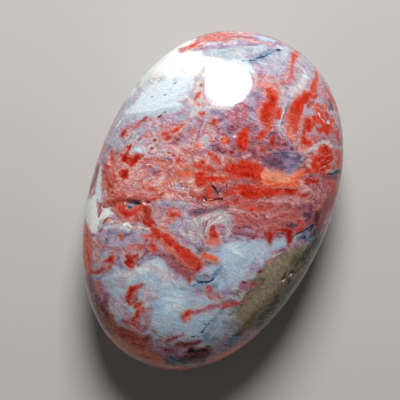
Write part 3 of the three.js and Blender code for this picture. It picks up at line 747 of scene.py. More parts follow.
# Fine lines and spots over the rest: the colour, and the lines of points with their half widths
LINES = {
    # The seam
    "seam left": ("bark", [(98,203,.5), (103,207.3,.9), (110,206.8,.8), (115,204.5,.7)]),
    "seam's pale lip": ("cream", [(97,205,.4), (103.5,209,.5), (111,207.8,.5)]),
    "seam middle": ("oxblood", [(121,201,.4), (128,199.5,.4), (134,200.3,.5), (139,200,.6)]),
    "seam right": ("oxblood", [(139,200,.7), (144,202,.6), (148,201.6,.8), (150,202.5,.4)]),
    "vug": ("charcoal", [(126,205,1.6), (129.5,206.4,2.4), (133.5,205,1.6)], [(134,203.2,1.1),
        (138,202.4,1)]),
    "vug's rim": ("slate", [(126.5,206,.6), (129,205,.7), (132,206.6,.6)]),
    # The top
    "top line": ("crimson", [(226,35.5,.6), (238,36.4,.5), (250,38.3,.5), (258,41.2,.5), (266,44,.4)]),
    "top loop": ("rose", [(266,44,.5), (272,45.6,.6), (276,44.6,.5), (277.5,42.8,.5)]),
    "top dot": ("wine", [(276,42.8,.9)]),
    "top ink": ("ink", [(244,60.3,.4), (250,60,.7), (256,59,.5)], [(257,58,.6), (263,56.5,.9), (269,54,.6),
        (275,51.5,.5)]),
    "top black dot": ("soot", [(277.5,50.2,1.2), (280.5,49.7,1)]),
    # The upper right
    "wine line": ("wine", [(271,136,.4), (275,134,.5), (281,139,.6), (286,144,.5), (292,143,.4)]),
    "hood": ("violet", [(267,146,.5), (266.8,140,.7), (269,135,.8), (273,131.6,.8), (278,131,.6)]),
    "window's dark streak": ("plum", [(270,154,.4), (284,152.5,.5), (296,154,.4)]),
    "window's pale streak": ("lilac", [(288,156,.3), (296,159,.4), (303,163,.3)]),
    "window's blue streaks": ("slate", [(280,162,.4), (290,164,.5), (299,163,.4)], [(272,157,.4),
        (282,157.5,.5), (294,160,.4)]),
    "hood's rim": ("pearl", [(271,129.6,.4), (276,128.4,.5), (281,130,.5), (284,135,.4)]),
    "column's white line": ("pearl", [(284,106,.6), (283,113,.7), (280,120,.7), (277,127,.6)]),
    "column's violet line": ("violet", [(287,100,.4), (286,108,.5), (284,117,.5), (281,126,.4)]),
    "slits": ("violet", [(296.5,140.5,.9), (295.5,143,.7)], [(297.5,146,.9), (296.5,149,.8)]),
    "dark lens": ("wine", [(308,176.5,.6), (311,176.5,1.2), (313,177.5,.5)]),
    "dark bit right": ("ink", [(328,175,.7), (333,173.5,1.6), (338,171.5,2.4), (342,170.5,2.4)]),
    "spark": ("chalk", [(318,112.5,.4), (320,116,.4)]),
    "pale band's cream line": ("cream", [(304,158,.3), (308,152,.5), (314,146.5,.7), (322,142.6,.7),
        (330,141.6,.4)]),
    "pale band's pearl line": ("pearl", [(299,160,.4), (304,154,.6), (310,148.6,.6), (318,144,.6),
        (327,140.5,.4)]),
    "cluster's crack and holes": ("blush", [(315,113.5,.45), (319,116.5,.5), (324,121,.55), (330,124,.4)],
        [(311,129.5,.5), (314.5,128,.5), (315.5,123,.6)]),
    "cluster's shade": ("wine", [(306.5,117,.5), (309,117.5,.5), (316.5,126.5,.6), (318,130.5,.5)]),
    "hole": ("lilac", [(319.2,126,1.7)]),
    "hole's heart": ("rose", [(319.2,126,.8)]),
    "white hole": ("ice", [(327.5,120.5,1.2), (328.5,122,.6)]),
    "swirl's veins": ("blush", [(320,155,.4), (326,156,.55), (331,153.5,.4)], [(316,164,.4), (323,161,.55),
        (330,159.5,.4)], [(319,170,.4), (325,166.5,.55), (331,163,.4)]),
    # Under the light
    "wine line left": ("wine", [(214,125,.7), (218,128,.8), (222,131,.7), (227,136,.5)]),
    "pale veins": ("lilac", [(212,110,.5), (207,118,.8), (202,127,.9), (200.5,136,.8)], [(219,121,.4),
        (224,127,.5), (229,136,.5), (231,142,.4)]),
    "violet dot": ("violet", [(212,146,1), (215,145,1.2)]),
    "dark dot": ("wine", [(222,153,.9), (225,151.5,1.2)]),
    "glint dot": ("chalk", [(221.8,151,.5)]),
    "red dash": ("crimson", [(230,152,1), (233,153,.8)]),
    # The middle
    "band's line": ("crimson", [(272,188.8,.5), (284,189.2,1), (296,190.2,.5)]),
    "plume crack": ("cream", [(224,172,.25), (229,178,.3), (231.5,183,.3), (243,183.4,.3)]),
    # The step's cream and pearl lines: partly its pale edges, partly painted highlight
    "step": ("cream", [(187,193,.3), (191,196.8,.4), (196,200.4,.35), (200,203,.5), (206,204.6,.45),
        (214,206.4,.35)]),
    "upper step": ("pearl", [(205,183,.35), (210,184.6,.4), (214,188,.4), (219,192.4,.45), (222,196,.4),
        (227,200.5,.45), (233,205,.35)]),
    "step's shade": ("oxblood", [(190.5,193.5,.5), (193,195.5,.9), (195,198,.6)]),
    "step's black shade": ("soot", [(201.5,197.6,.6), (204.5,198.2,1.2), (207,199,.5)]),
    "step's crumbs": ("cream", [(207.5,190.4,.5)], [(213,194.2,.5), (214.5,196,.5)]),
    "upper step's shade": ("wine", [(226,184,.5), (227.5,189,.8), (226,195,.6)]),
    "step's brown shades": ("oxblood", [(221.5,198.8,.8)], [(211,185.8,.9), (215.5,189.5,.9),
        (218,194.5,.6)], [(196,197,.9), (200,199.6,.7), (210,200.4,.8), (216,198.4,1.1), (223,199.4,1)]),
    "brown fleck": ("oxblood", [(213,186,.6), (216,189,.8)]),
    "violet fleck": ("violet", [(214,192,.4), (218,195.5,.5)]),
    "crack": ("charcoal", [(177,181,.4), (182,186,.5), (185,188.5,.5), (183.5,193,.5)]),
    "glint": ("chalk", [(183,188.5,.5)]),
    "ledge line": ("violet", [(189,209,.5), (205,209.3,.5), (222,209.6,.4)]),
    "ledge vein": ("slate", [(184,207,.5), (188,214,.6), (190,219,.4)]),
    "swirl glint": ("chalk", [(220,218,.9), (222,217.5,.7)]),
    "swirl's rose line": ("rose", [(208,216.5,.3), (216,216.6,.4), (225,215.6,.4), (230,219,.35)]),
    "swirl's outer line": ("cream", [(193,234,.35), (197,226,.45), (203,219,.45), (211,215.4,.4),
        (219,214.6,.35)]),
    "swirl's blue line": ("steel", [(190,231,.35), (194,223.6,.4), (200,216.6,.45), (208,211.8,.35)]),
    "swirl's inner line": ("cream", [(206,236,.35), (205.5,229,.4), (209,222.4,.5), (216,219.2,.45),
        (224,220.5,.35)]),
    # The upper left
    "eye's iris": ("rose", [(155.6,139,2.2)]),
    "eye": ("bark", [(155.4,139,.6), (156,139,.6)]),
    "second eye's iris": ("rose", [(152.5,148,2.2)]),
    "eye's rim": ("mauve", ring(155.7, 139, 5.2, .35, 110, 330)),
    "second eye": ("brick", [(151.8,148,1.2), (153.2,148,1.2)]),
    "second eye's rim": ("wine", ring(152.8, 148, 5.9, .35, 130, 350)),
    "third eye": ("scarlet", [(167,152.7,.9), (170,152.7,.8)]),
    "outlines": ("pearl", [(161.5,131,.4), (161,136,.5), (163,141.5,.5), (168,141.5,.4)], [(169,132.5,.4),
        (173,127.5,.5), (179,124.5,.5), (186,122,.4)]),
    "rose dots": ("wine", [(157.5,117,.8), (161,115.5,.7), (162.5,113,.5), (166,111.5,.4)]),
    "blue flecks": ("blue", [(174,84,1), (176.5,82.6,.7)], [(180.5,80.5,.8), (183,79.6,.4)],
        [(163.4,95.6,.6), (166,94.4,.9)], [(150,98,.5), (153.4,96.3,.8)], [(160.5,99.5,.6)], [(178,74,.8)]),
    "rim line": ("steel", [(133,101,.3), (130,105,.5), (127,109,.6)]),
    "rim's white lines": ("chalk", [(123,116,.4), (118,124,.5), (113.5,132.5,.4)], [(119.5,116.5,.4),
        (115,123.5,.4)]),
    "violet diagonal": ("violet", [(131,140,.3), (137,135,.3), (142,131,.3)]),
    "ash diagonal": ("ash", [(131,137,.4), (136,132.5,.5), (141,129,.4)]),
    "left violet diagonal": ("violet", [(122,145,.35), (127,140,.4), (131,136,.3)]),
    "wine diagonal": ("wine", [(135,149,.4), (138,146.5,.4), (143,142.5,.35)]),
    "lower pearl diagonal": ("pearl", [(136,146,.5), (141,142,.6), (146,138,.4)]),
    "middle violet diagonal": ("violet", [(133,143,.35), (139,139,.35), (146,134,.3)]),
    "upper pearl diagonal": ("pearl", [(128,145,.4), (134,140.5,.45), (140,136,.4), (146,131,.3)]),
    "claw's shade": ("violet", [(112,178,.4), (114.5,184,.5)]),
    # Left of the seam
    "stem": ("rose", [(99.5,208,2), (99.5,213,2.4), (99,217,1.2)]),
    "spots left": ("crimson", [(107.5,217.5,.8), (104,222,.9), (103,224,.4)], [(101.5,228.5,.8),
        (100,232,.6)]),
    "spot left": ("soot", [(94,235.5,.9)]),
    "white crumbs": ("chalk", [(111,222.5,.8), (113.5,221.5,.8)], [(116,222,.6), (119,224.5,.6)],
        [(124,225.5,1), (127.5,223.5,1.3), (131,226.5,1.1)]),
    "cream crumbs": ("cream", [(137.5,226,1.1), (142,228,.9)], [(145,229,1), (149.5,228,1.2)]),
    "lilac crumbs": ("lilac", [(104,234.5,.9), (107,236,1), (105.5,238.5,.5)], [(107,231,.9),
        (105,234,.8)]),
    # The lower middle
    "boundary": ("ink", [(276,234,.5), (280,232.8,.7), (284,234.5,.5)], [(292,236.5,.6), (296,233.6,.7),
        (302,232,.7), (308,227.5,1.2), (313,225.5,1.4)]),
    "dendrite": ("ink", [(197,280.5,.7), (200,282,1.5), (203.5,282.4,1.2), (206,282.3,1.7),
        (209.5,280.6,1.1), (212,279,1.5), (215,276.6,.9)], [(218,280.6,.6), (219.4,279.6,.3),
        (216.4,283.2,.5)], [(200,282,.8), (195,284.5,.6), (190,287.5,.4)]),
    "dendrite's blue branch": ("steel", [(214,277.5,.9), (218,272,.8), (222,266,.6)]),
    "dendrite's bits": ("ink", [(221,261,.3), (225,257,.35), (229.5,252,.35)], [(231,251.4,.8)],
        [(222.5,277,1)], [(229.5,277,.6)]),
    "low dendrite": ("ink", [(212.5,320.3,.9), (210.6,322,.3), (209,324,1), (207.2,326,.3), (206,328,1.2),
        (204.4,330,.5), (203,331.8,1.6), (201,333.4,.3)], [(200.5,330,.6), (199.6,332,.3), (207.6,331,.6)]),
    "low dendrite's blue specks": ("steel", [(205,323,.8), (210,329,.9)]),
    "low dendrite's bits": ("ink", [(191.5,337.5,.7), (195,337.5,.5), (199,337.7,1.2)], [(201,341.8,.8)]),
    "sky dots": ("ink", [(183.5,296.6,.6)], [(161.6,320.4,.7)]),
    "wine dot": ("oxblood", [(165,350.2,.9)]),
    "ribbon dot": ("crimson", [(212,310.3,.7)]),
    "oval's stripes": ("blush", [(184.5,316,.3), (187,319.5,.4)], [(188,315.5,.3), (190.5,318.5,.4)]),
    "letter's vein": ("blush", [(128.5,299.2,.3), (133,301,.4)]),
    "violet over the letter": ("violet", [(142,284.8,.8), (149,284.2,.5)]),
    "low speck": ("cream", [(201,351.3,.6)]),
    # The moss
    "moss glints": ("cream", [(279,267.8,.6)], [(291,273.5,.5), (290.5,275.5,.4)], [(283,281,.6),
        (285.5,280,.5)]),
    "moss dark": ("soot", [(281.5,278.5,.4), (284,275,.8), (286.5,271.5,.4)]),
    "moss lip": ("cream", [(272,256.5,.6), (277,254.5,.7), (283,252,.5)]),
}

# Pits that polishing left open on the crown, as in the solid, in millimetres: the middle's place
# from above, the length, the width and the depth, and how far it is turned from +X, in degrees
PITS = {
    "seam vug": (-13.2, -5.5, 3.4, 1.1, 0.8, 14),
    "tail of the seam vug": (-10.7, -4.5, 1.7, 0.7, 0.5, -2),
    "left red pit": (-3.0, 0.0, 1.2, 0.6, 0.4, -38),
    "right red pit": (-1.2, 0.2, 1.1, 0.7, 0.45, -5),
    "lower olive pit": (18.3, -8.5, 1.2, 0.6, 0.4, 66),
    "upper olive pit": (19.2, -7.1, 1.1, 0.5, 0.35, 75),
}
# The hairline crack that runs into the vug from both sides: its line of points, with their half
# widths in pixels, and how deep it is in millimetres
SEAM = (
    (97, 203, 1.6), (103, 207.4, 1.8), (110, 206.4, 1.6), (116, 203, 1.6), (128, 199.6, 1.8),
    (140, 200, 1.8), (150, 202, 1.2),
)
SEAM_DEPTH = 0.1

# Plumes strewn over the underside, which the picture doesn't show, with sizes in pixels
KEEL_SEED = 7
KEEL_PLUMES = 46
KEEL_SPREAD = (108, 160)  # how far from the stone's middle they reach, across and along
KEEL_REACH = (0.02, 0.9)  # the least and the most of that, squared
KEEL_HEADING = 35  # how far they turn from level, in degrees
KEEL_STEP = (4, 11)  # half their length
KEEL_BEND = 3
KEEL_HALF_WIDTH = (1, 6)
KEEL_TAPER = 0.4  # how much narrower their ends are
KEEL_SKIRT = 2
KEEL_TINTS = (  # the colour of each, and the colour round it
    ("scarlet", "salmon"), ("crimson", "rose"), ("salmon", "blush"), ("lilac", "ash"),
    ("wine", "mauve"), ("cream", "blush"),
)

# Smooth waves that shift the markings, each with its size in millimetres, its reach and its seed.
# The reach is in millimetres for crisp markings, in pixels for broad ones, and in pixels for each
# millimetre below the widest level for what lies there
CRISP_WAVES = ((1.9, 0.2, 50), (0.8, 0.16, 60))
BROAD_WAVES = ((5.0, 1.2, 70), (1.6, 1.3, 80))
LOW_WAVES = ((6.0, 5.0, 40), (2.5, 1.8, 44))
# The waves that fray the edges, and how many kinds of them the markings take in turn
RAG_WAVES = ((2.6, 0.5, 0), (1.1, 0.35, 10), (0.5, 0.25, 20))
RAG_KINDS = 4

# How far the edges fray: of a wash as a share of its softness, and of a line and a plume in
# millimetres, with more for each millimetre of a plume's half width
WASH_RAG = 0.3
LINE_RAG = 0.06
PLUME_RAG = 0.12
WIDE_PLUME_RAG = 0.26
# A plume's skirt: how uneven its width is, how much wider it is than it is given, where in it the
# colour sets in, and how much of the colour it takes
SKIRT_RAG = 0.5
SKIRT_SPREAD = 1.6
SKIRT_START = 0.9
SKIRT_SHARE = 0.65
# How far outside a marking's edge its colour still replaces an earlier one, in millimetres
OVERLAP = 0.12
UNPAINTED = -2.0  # a distance inside that is well outside, in millimetres
BARE = Ground("mauve", "lilac", 0.5, 0.8)  # what shows where nothing is painted

# The whole numbers that scramble a place into a random value
SCRAMBLE = (73856093, 19349663, 83492791)
SCRAMBLE_SEED = 2654435
SCRAMBLE_MORE = 1274126177


def to_linear(shown):
    """From the colours as they are picked to the light that they send back."""
    shown = np.asarray(shown, dtype=float)
    return np.where(shown <= 0.04045, shown / 12.92, ((shown + 0.055) / 1.055) ** 2.4)


def noise(spots, size, seed):
    """Smooth noise from -1 to 1 at each spot, with lumps of the given size."""
    cell = spots / size
    base = np.floor(cell).astype(np.int64)
    part = cell - base
    part = part * part * (3 - 2 * part)
    total = np.zeros(len(spots))
    for corner in itertools.product((0, 1), repeat=3):
        key = (base + corner) * SCRAMBLE
        mixed = key[:, 0] ^ key[:, 1] ^ key[:, 2] ^ (seed * SCRAMBLE_SEED)
        mixed = (mixed ^ (mixed >> 13)) * SCRAMBLE_MORE
        value = ((mixed ^ (mixed >> 16)) & 0xFFFF) / 0x7FFF - 1
        weight = np.where(corner, part, 1 - part).prod(axis=1)
        total += value * weight
    return total


def smooth(value):
    value = np.clip(value, 0, 1)
    return value * value * (3 - 2 * value)


class Value:
    """A node's output that can be reckoned with, so that a formula reads as one."""

    def __init__(self, graph, socket):
        self.graph = graph
        self.socket = socket

    def __add__(self, other):
        return self.graph.math("ADD", self, other)

    def __sub__(self, other):
        return self.graph.math("SUBTRACT", self, other)

    def __rsub__(self, other):
        return self.graph.math("SUBTRACT", other, self)

    def __mul__(self, other):
        return self.graph.math("MULTIPLY", self, other)

    def __rtruediv__(self, other):
        return self.graph.math("DIVIDE", other, self)

    def __pow__(self, other):
        return self.graph.math("POWER", self, other)


class Graph:
    """Adds nodes to a node tree and links them."""

    def __init__(self, tree):
        self.tree = tree

    def node(self, kind, inputs=(), **settings):
        made = self.tree.nodes.new(kind)
        for key, value in settings.items():
            setattr(made, key, value)
        for key, value in dict(inputs).items():
            if isinstance(value, Value):
                self.tree.links.new(value.socket, made.inputs[key])
            else:
                made.inputs[key].default_value = value
        return made

    def out(self, kind, inputs=(), output=0, **settings):
        """One output of a new node."""
        return Value(self, self.node(kind, inputs, **settings).outputs[output])

    def outs(self, kind, inputs=()):
        """All the outputs of a new node, by their names."""
        return {socket.name: Value(self, socket) for socket in self.node(kind, inputs).outputs}

    def math(self, operation, *values):
        return self.out("ShaderNodeMath", dict(enumerate(values)), operation=operation)

    def vector(self, operation, *values):
        return self.out("ShaderNodeVectorMath", dict(enumerate(values)), operation=operation)

    def scaled(self, vector, share):
        return self.out("ShaderNodeVectorMath", {0: vector, "Scale": share}, operation="SCALE")


# The stone's mesh

CROWN_REACH = math.radians(100)  # how far down the ball the fine lattice reaches, from its top


def ball_mesh(columns, rows, crown_reach):
    """A unit ball: a fine square lattice pulled over its top, and one of half the fineness below."""

    def lattice(across, along):
        s, t = np.meshgrid(np.linspace(-1, 1, across + 1), np.linspace(-1, 1, along + 1), indexing="ij")
        wide = np.abs(s) >= np.abs(t)
        radius = np.where(wide, s, t)
        over = np.where(radius == 0, 1, radius)
        turn = np.where(wide, t / over * math.pi / 4, math.pi / 2 - s / over * math.pi / 4)
        return s, t, radius, turn

    def on_ball(radius, turn, reach, side):
        polar = radius * reach
        return np.stack(
            [np.sin(polar) * np.cos(turn), np.sin(polar) * np.sin(turn), side * np.cos(polar)], axis=-1
        )

    s, t, radius, turn = lattice(columns, rows)
    crown = on_ball(radius, turn, crown_reach, 1).reshape(-1, 3)
    crown_at = np.arange(len(crown)).reshape(columns + 1, rows + 1)
    crown_st = np.stack([s, t], axis=-1).reshape(-1, 2)

    across, along = columns // 2, rows // 2
    s, t, radius, turn = lattice(across, along)
    keel = on_ball(radius, turn, math.pi - crown_reach, -1)
    keel_st = np.stack([s, t], axis=-1)
    inner = np.zeros((across + 1, along + 1), dtype=bool)
    inner[1:-1, 1:-1] = True
    keel_at = crown_at[::2, ::2].copy()
    keel_at[inner] = len(crown) + np.arange(inner.sum())

    faces = []
    for i in range(columns):
        for j in range(rows):
            faces.append([crown_at[i, j], crown_at[i + 1, j], crown_at[i + 1, j + 1], crown_at[i, j + 1]])
    crown_faces = len(faces)
    for i in range(across):
        for j in range(along):
            face = [keel_at[i, j]]
            if i == 0:
                face.append(crown_at[0, 2 * j + 1])
            face.append(keel_at[i, j + 1])
            if j == along - 1:
                face.append(crown_at[2 * i + 1, rows])
            face.append(keel_at[i + 1, j + 1])
            if i == across - 1:
                face.append(crown_at[columns, 2 * j + 1])
            face.append(keel_at[i + 1, j])
            if j == 0:
                face.append(crown_at[2 * i + 1, 0])
            faces.append(face)

    mesh = bpy.data.meshes.new("unit ball")
    mesh.from_pydata(np.vstack([crown, keel[inner]]).tolist(), [], [[int(v) for v in f] for f in faces])
    st = np.vstack([crown_st, keel_st[inner]])
    unwrap(mesh, st, crown_faces)
    return mesh


def unwrap(mesh, st, crown_faces):
    """Lays the crown's lattice over three fifths of the map, and the keel's over the rest."""
    share, rim = 0.6, 0.006
    corners = np.empty(len(mesh.loops), dtype=np.int32)
    mesh.loops.foreach_get("vertex_index", corners)
    totals = np.empty(len(mesh.polygons), dtype=np.int32)
    mesh.polygons.foreach_get("loop_total", totals)
    on_keel = np.repeat(np.arange(len(totals)) >= crown_faces, totals)
    place = (st[corners] + 1) / 2
    u = rim + place[:, 1] * (1 - 2 * rim)
    crown_v = rim + place[:, 0] * (share - 2 * rim)
    keel_v = share + rim + (1 - place[:, 0]) * (1 - share - 2 * rim)
    layer = mesh.uv_layers.new(name="OFBake")
    layer.data.foreach_set("uv", np.stack([u, np.where(on_keel, keel_v, crown_v)], axis=-1).ravel())


def pebble_tree(names, material):
    """Turns a unit ball into the pebble, with the faint waves that hand grinding leaves."""
    tree = bpy.data.node_groups.new("Pebble", "GeometryNodeTree")
    tree.interface.new_socket("Geometry", in_out="INPUT", socket_type="NodeSocketGeometry")
    tree.interface.new_socket("Geometry", in_out="OUTPUT", socket_type="NodeSocketGeometry")
    for name in names:
        tree.interface.new_socket(name, in_out="INPUT", socket_type="NodeSocketFloat")
    graph = Graph(tree)
    maths = graph.math
    given = graph.outs("NodeGroupInput")

    position = graph.out("GeometryNodeInputPosition")
    x, y, z = graph.outs("ShaderNodeSeparateXYZ", {0: position}).values()
    turn = maths("ARCTAN2", y, x)
    out = maths("SQRT", x * x + y * y)
    above = maths("GREATER_THAN", z, 0.0)

    def by_side(crown, keel):
        return keel + above * (crown - keel)

    height = by_side(given["Thickness"] - given["Girdle"], given["Girdle"] + given["Ground Off"])
    power = by_side(given["Crown Power"], given["Keel Power"])
    reach = (out ** power + maths("ABSOLUTE", z) ** power) ** (-1.0 / power)
    egg = given["Egg"] * (maths("SINE", turn) + maths("SINE", turn * 3.0))
    shoulder = given["Shoulder"] * (1.0 - maths("COSINE", turn * 4.0))
    share = out * reach * (egg + 1.0 + shoulder)
    rise = z * reach
    lean = above * (rise * rise)

    def across(size, wave, shift):
        return given[size] * 0.5 * share * maths(wave, turn) + given[shift] * lean

    level = maths("MAXIMUM", height * rise + given["Girdle"], 0.0)
    place = graph.out("ShaderNodeCombineXYZ", {
        0: across("Width", "COSINE", "Lean X"), 1: across("Length", "SINE", "Lean Y"), 2: level,
    })
    shaped = graph.out("GeometryNodeSetPosition", {"Geometry": given["Geometry"], "Position": place})

    lumps = graph.out("ShaderNodeTexNoise", {
        "Vector": position, "Scale": 1.0 / given["Wave Size"], "Detail": 0.0,
    })
    off_floor = graph.out("ShaderNodeMapRange", {
        "Value": z, "From Min": 0.0, "From Max": given["Wave Fade"],
    })
    depth = lumps * off_floor * given["Wave Height"]
    inwards = graph.scaled(graph.out("GeometryNodeInputNormal"), depth * -1.0)
    waved = graph.out("GeometryNodeSetPosition", {"Geometry": shaped, "Offset": inwards})
    realized = graph.out("GeometryNodeRealizeInstances", {"Geometry": waved})
    finished = graph.out("GeometryNodeSetMaterial", {"Geometry": realized, "Material": material})
    graph.node("NodeGroupOutput", {"Geometry": finished})
    return tree


def shape_stone(sizes, material):
    """The pebble as a plain mesh."""
    ball = ball_mesh(sizes.columns, sizes.rows, CROWN_REACH)
    source = bpy.data.objects.new("stone source", ball)
    bpy.context.collection.objects.link(source)
    values = {
        "Width": sizes.width, "Length": sizes.length, "Thickness": sizes.thickness,
        "Girdle": sizes.girdle, "Ground Off": sizes.ground_off,
        "Crown Power": sizes.crown_power, "Keel Power": sizes.keel_power,
        "Lean X": sizes.lean_x, "Lean Y": sizes.lean_y, "Egg": EGG, "Shoulder": SHOULDER,
        "Wave Height": sizes.wave_height, "Wave Size": sizes.wave_size,
        "Wave Fade": sizes.wave_fade,
    }
    modifier = source.modifiers.new("Pebble", "NODES")
    modifier.node_group = pebble_tree(values, material)
    for item in modifier.node_group.interface.items_tree:
        if item.in_out == "INPUT" and item.name in values:
            modifier[item.identifier] = values[item.name]
    depsgraph = bpy.context.evaluated_depsgraph_get()
    mesh = bpy.data.meshes.new_from_object(
        source.evaluated_get(depsgraph), preserve_all_data_layers=True, depsgraph=depsgraph
    )
    source.modifiers.clear()
    bpy.data.objects.remove(source)
    mesh.name = "agate stone"
    mesh.shade_smooth()
    return mesh


# The stone's markings

class View:
    """The camera above the stone, and the way between its picture and the stone."""

    def __init__(self, sizes, distance):
        self.right = Vector((math.cos(TURN), math.sin(TURN), 0))
        self.up = Vector((-math.sin(TURN), math.cos(TURN), 0))
        self.girdle = sizes.girdle
        self.distance = distance
        self.focal = distance / MM * PIXELS_PER_MM
        off_x = (PICTURE / 2 - STONE_MIDDLE[0]) / PIXELS_PER_MM * MM
        off_y = (STONE_MIDDLE[1] - PICTURE / 2) / PIXELS_PER_MM * MM
        self.place = self.right * off_x + self.up * off_y + Vector((0, 0, sizes.girdle + distance))

    def ray(self, x, y):
        across = (x - PICTURE / 2) / self.focal
        upwards = (PICTURE / 2 - y) / self.focal
        return (self.right * across + self.up * upwards - Vector((0, 0, 1))).normalized()

    def on_girdle(self, x, y):
        ray = self.ray(x, y)
        return self.place + ray * (self.distance / -ray.z)

    def in_picture(self, spots):
        away = spots - np.array(self.place)
        deep = -away[:, 2]
        x = PICTURE / 2 + away @ np.array(self.right) / deep * self.focal
        y = PICTURE / 2 - away @ np.array(self.up) / deep * self.focal
        return np.stack([x, y], axis=-1)


class Painter:
    """Paints washes, patches and lines on the stone's vertices."""

    STEP = 7.0  # the longest stretch between two points of a line, in pixels

    def __init__(self, mesh, colours, view):
        self.mesh = mesh
        self.view = view
        self.colours = {name: np.array(getattr(colours, name)) for name in colours.__annotations__}
        flat = np.empty(len(mesh.vertices) * 3)
        mesh.vertices.foreach_get("co", flat)
        self.spots = flat.reshape(-1, 3)
        self.tree = BVHTree.FromPolygons(
            self.spots.tolist(), [tuple(face.vertices) for face in mesh.polygons]
        )
        place = self.spots / MM
        self.rags = [
            sum(reach * noise(place, size, seed + kind) for size, reach, seed in RAG_WAVES)
            for kind in range(RAG_KINDS)
        ]
        self.squeezed = (place + self.wander(CRISP_WAVES)) * (1, 1, DEPTH_SHARE)
        below = np.maximum(view.girdle - self.spots[:, 2], 0)[:, None] / MM
        drift = self.wander(LOW_WAVES)[:, :2] * below
        broad = self.wander(BROAD_WAVES)[:, :2]
        self.seen = view.in_picture(self.spots) + below * LEAN_BELOW + drift + broad
        count = len(self.spots)
        self.ground = np.tile(self.colours[BARE.colour], (count, 1))
        self.streak = np.tile(self.colours[BARE.streak], (count, 1))
        self.moss = np.full(count, BARE.moss)
        self.grain = np.full(count, BARE.grain)
        self.flow = np.zeros((count, len(FLOW_TURNS)))
        self.patch = np.full(count, UNPAINTED)
        self.patch_colour = np.tile(self.colours["scarlet"], (count, 1))
        self.line = np.full(count, UNPAINTED)
        self.line_colour = np.tile(self.colours["ink"], (count, 1))
        self.rough = np.zeros(count)
        self.order = 0

    def wander(self, waves):
        """Smooth shifts in all three directions."""
        place = self.spots / MM
        return sum(
            reach * np.stack([noise(place, size, seed + axis) for axis in range(3)], axis=-1)
            for size, reach, seed in waves
        )

    def rag(self):
        """The next of the kinds of waves that fray an edge."""
        self.order += 1
        return self.rags[self.order % len(self.rags)]

    def along(self, points):
        """A line's points with more between them, so that none are far apart."""
        points = np.array(points, dtype=float)
        if len(points) == 1:
            return points
        made = [points[:1]]
        for start, end in zip(points, points[1:]):
            steps = max(1, math.ceil(np.hypot(*(end - start)[:2]) / self.STEP))
            made.append(start + (end - start) * (np.arange(1, steps + 1) / steps)[:, None])
        return np.vstack(made)

    def on_stone(self, x, y, below):
        """The spot on the crown under a pixel, or on the keel under that, or beside the stone."""
        aside = self.view.on_girdle(x, y)
        if below:
            hit = self.tree.ray_cast(Vector((aside.x, aside.y, -1)), Vector((0, 0, 1)))[0]
        else:
            hit = self.tree.ray_cast(self.view.place, self.view.ray(x, y))[0]
        return hit or aside

    @staticmethod
    def inside(spots, knots):
        """How far spots lie inside a line of round brushes, and negative outside."""
        if len(knots) == 1:
            knots = np.vstack([knots, knots])
        best = np.full(len(spots), -np.inf)
        for start, end in zip(knots, knots[1:]):
            span = end[:-1] - start[:-1]
            share = np.clip((spots - start[:-1]) @ span / max(span @ span, 1e-9), 0, 1)
            away = np.linalg.norm(spots - start[:-1] - share[:, None] * span, axis=1)
            best = np.maximum(best, start[-1] + share * (end[-1] - start[-1]) - away)
        return best

    def wash_share(self, soft, points):
        inside = self.inside(self.seen, self.along(points)) + self.rag() * WASH_RAG * soft
        return smooth(inside / soft + 0.5)

    def wash(self, kind, soft, *points):
        """Lays a kind of chalcedony."""
        kind = GROUNDS[kind]
        share = self.wash_share(soft, points)
        for layer, tint in ((self.ground, kind.colour), (self.streak, kind.streak)):
            layer += (self.colours[tint] - layer) * share[:, None]
        for layer, value in ((self.moss, kind.moss), (self.grain, kind.grain)):
            layer += (value - layer) * share

    def lean(self, flow, soft, *points):
        """Turns the streaks another way."""
        share = self.wash_share(soft, points)[:, None]
        self.flow += (np.array([float(name == flow) for name in FLOW_TURNS]) - self.flow) * share

    def crisp(self, points, margin=1.0, below=False):
        """The vertices near a line on the stone, and how far in millimetres they lie inside it."""
        line = self.along(points)
        scale = 1 / PIXELS_PER_MM
        knots = np.array([
            (*(self.on_stone(x, y, below) / MM * Vector((1, 1, DEPTH_SHARE))), half * scale)
            for x, y, half in line
        ])
        room = knots[:, 3:] + margin
        low, high = (knots[:, :3] - room).min(axis=0), (knots[:, :3] + room).max(axis=0)
        near = np.flatnonzero(((self.squeezed > low) & (self.squeezed < high)).all(axis=1))
        return near, self.inside(self.squeezed[near], knots)

    def plume(self, tint, skirt, skirt_width, points, below=False):
        """Lays a patch with a ragged edge and a soft skirt."""
        width = (skirt_width + 1) / PIXELS_PER_MM
        near, inside = self.crisp(points, width + 1, below)
        widest = max(half for _, _, half in points) / PIXELS_PER_MM
        inside = inside + self.rag()[near] * (PLUME_RAG + WIDE_PLUME_RAG * widest)
        if skirt:
            fray = 1 + self.rag()[near] * SKIRT_RAG
            within = inside / (SKIRT_SPREAD * width) * fray + SKIRT_START
            share = (smooth(within) * SKIRT_SHARE)[:, None]
            for layer in (self.ground, self.streak):
                layer[near] += (self.colours[skirt] - layer[near]) * share
        self.lay(self.patch, self.patch_colour, near, inside, tint)

    def stroke(self, tint, points):
        """Lays a fine line with a slightly ragged edge."""
        near, inside = self.crisp(points)
        self.lay(self.line, self.line_colour, near, inside + self.rag()[near] * LINE_RAG, tint)

    def lay(self, layer, tints, near, inside, tint):
        """Adds a marking to the distances inside of its layer, and its tint where it is on top."""
        first = (inside > -OVERLAP) | (inside > layer[near])
        tints[near[first]] = self.colours[tint]
        layer[near] = np.maximum(layer[near], inside)

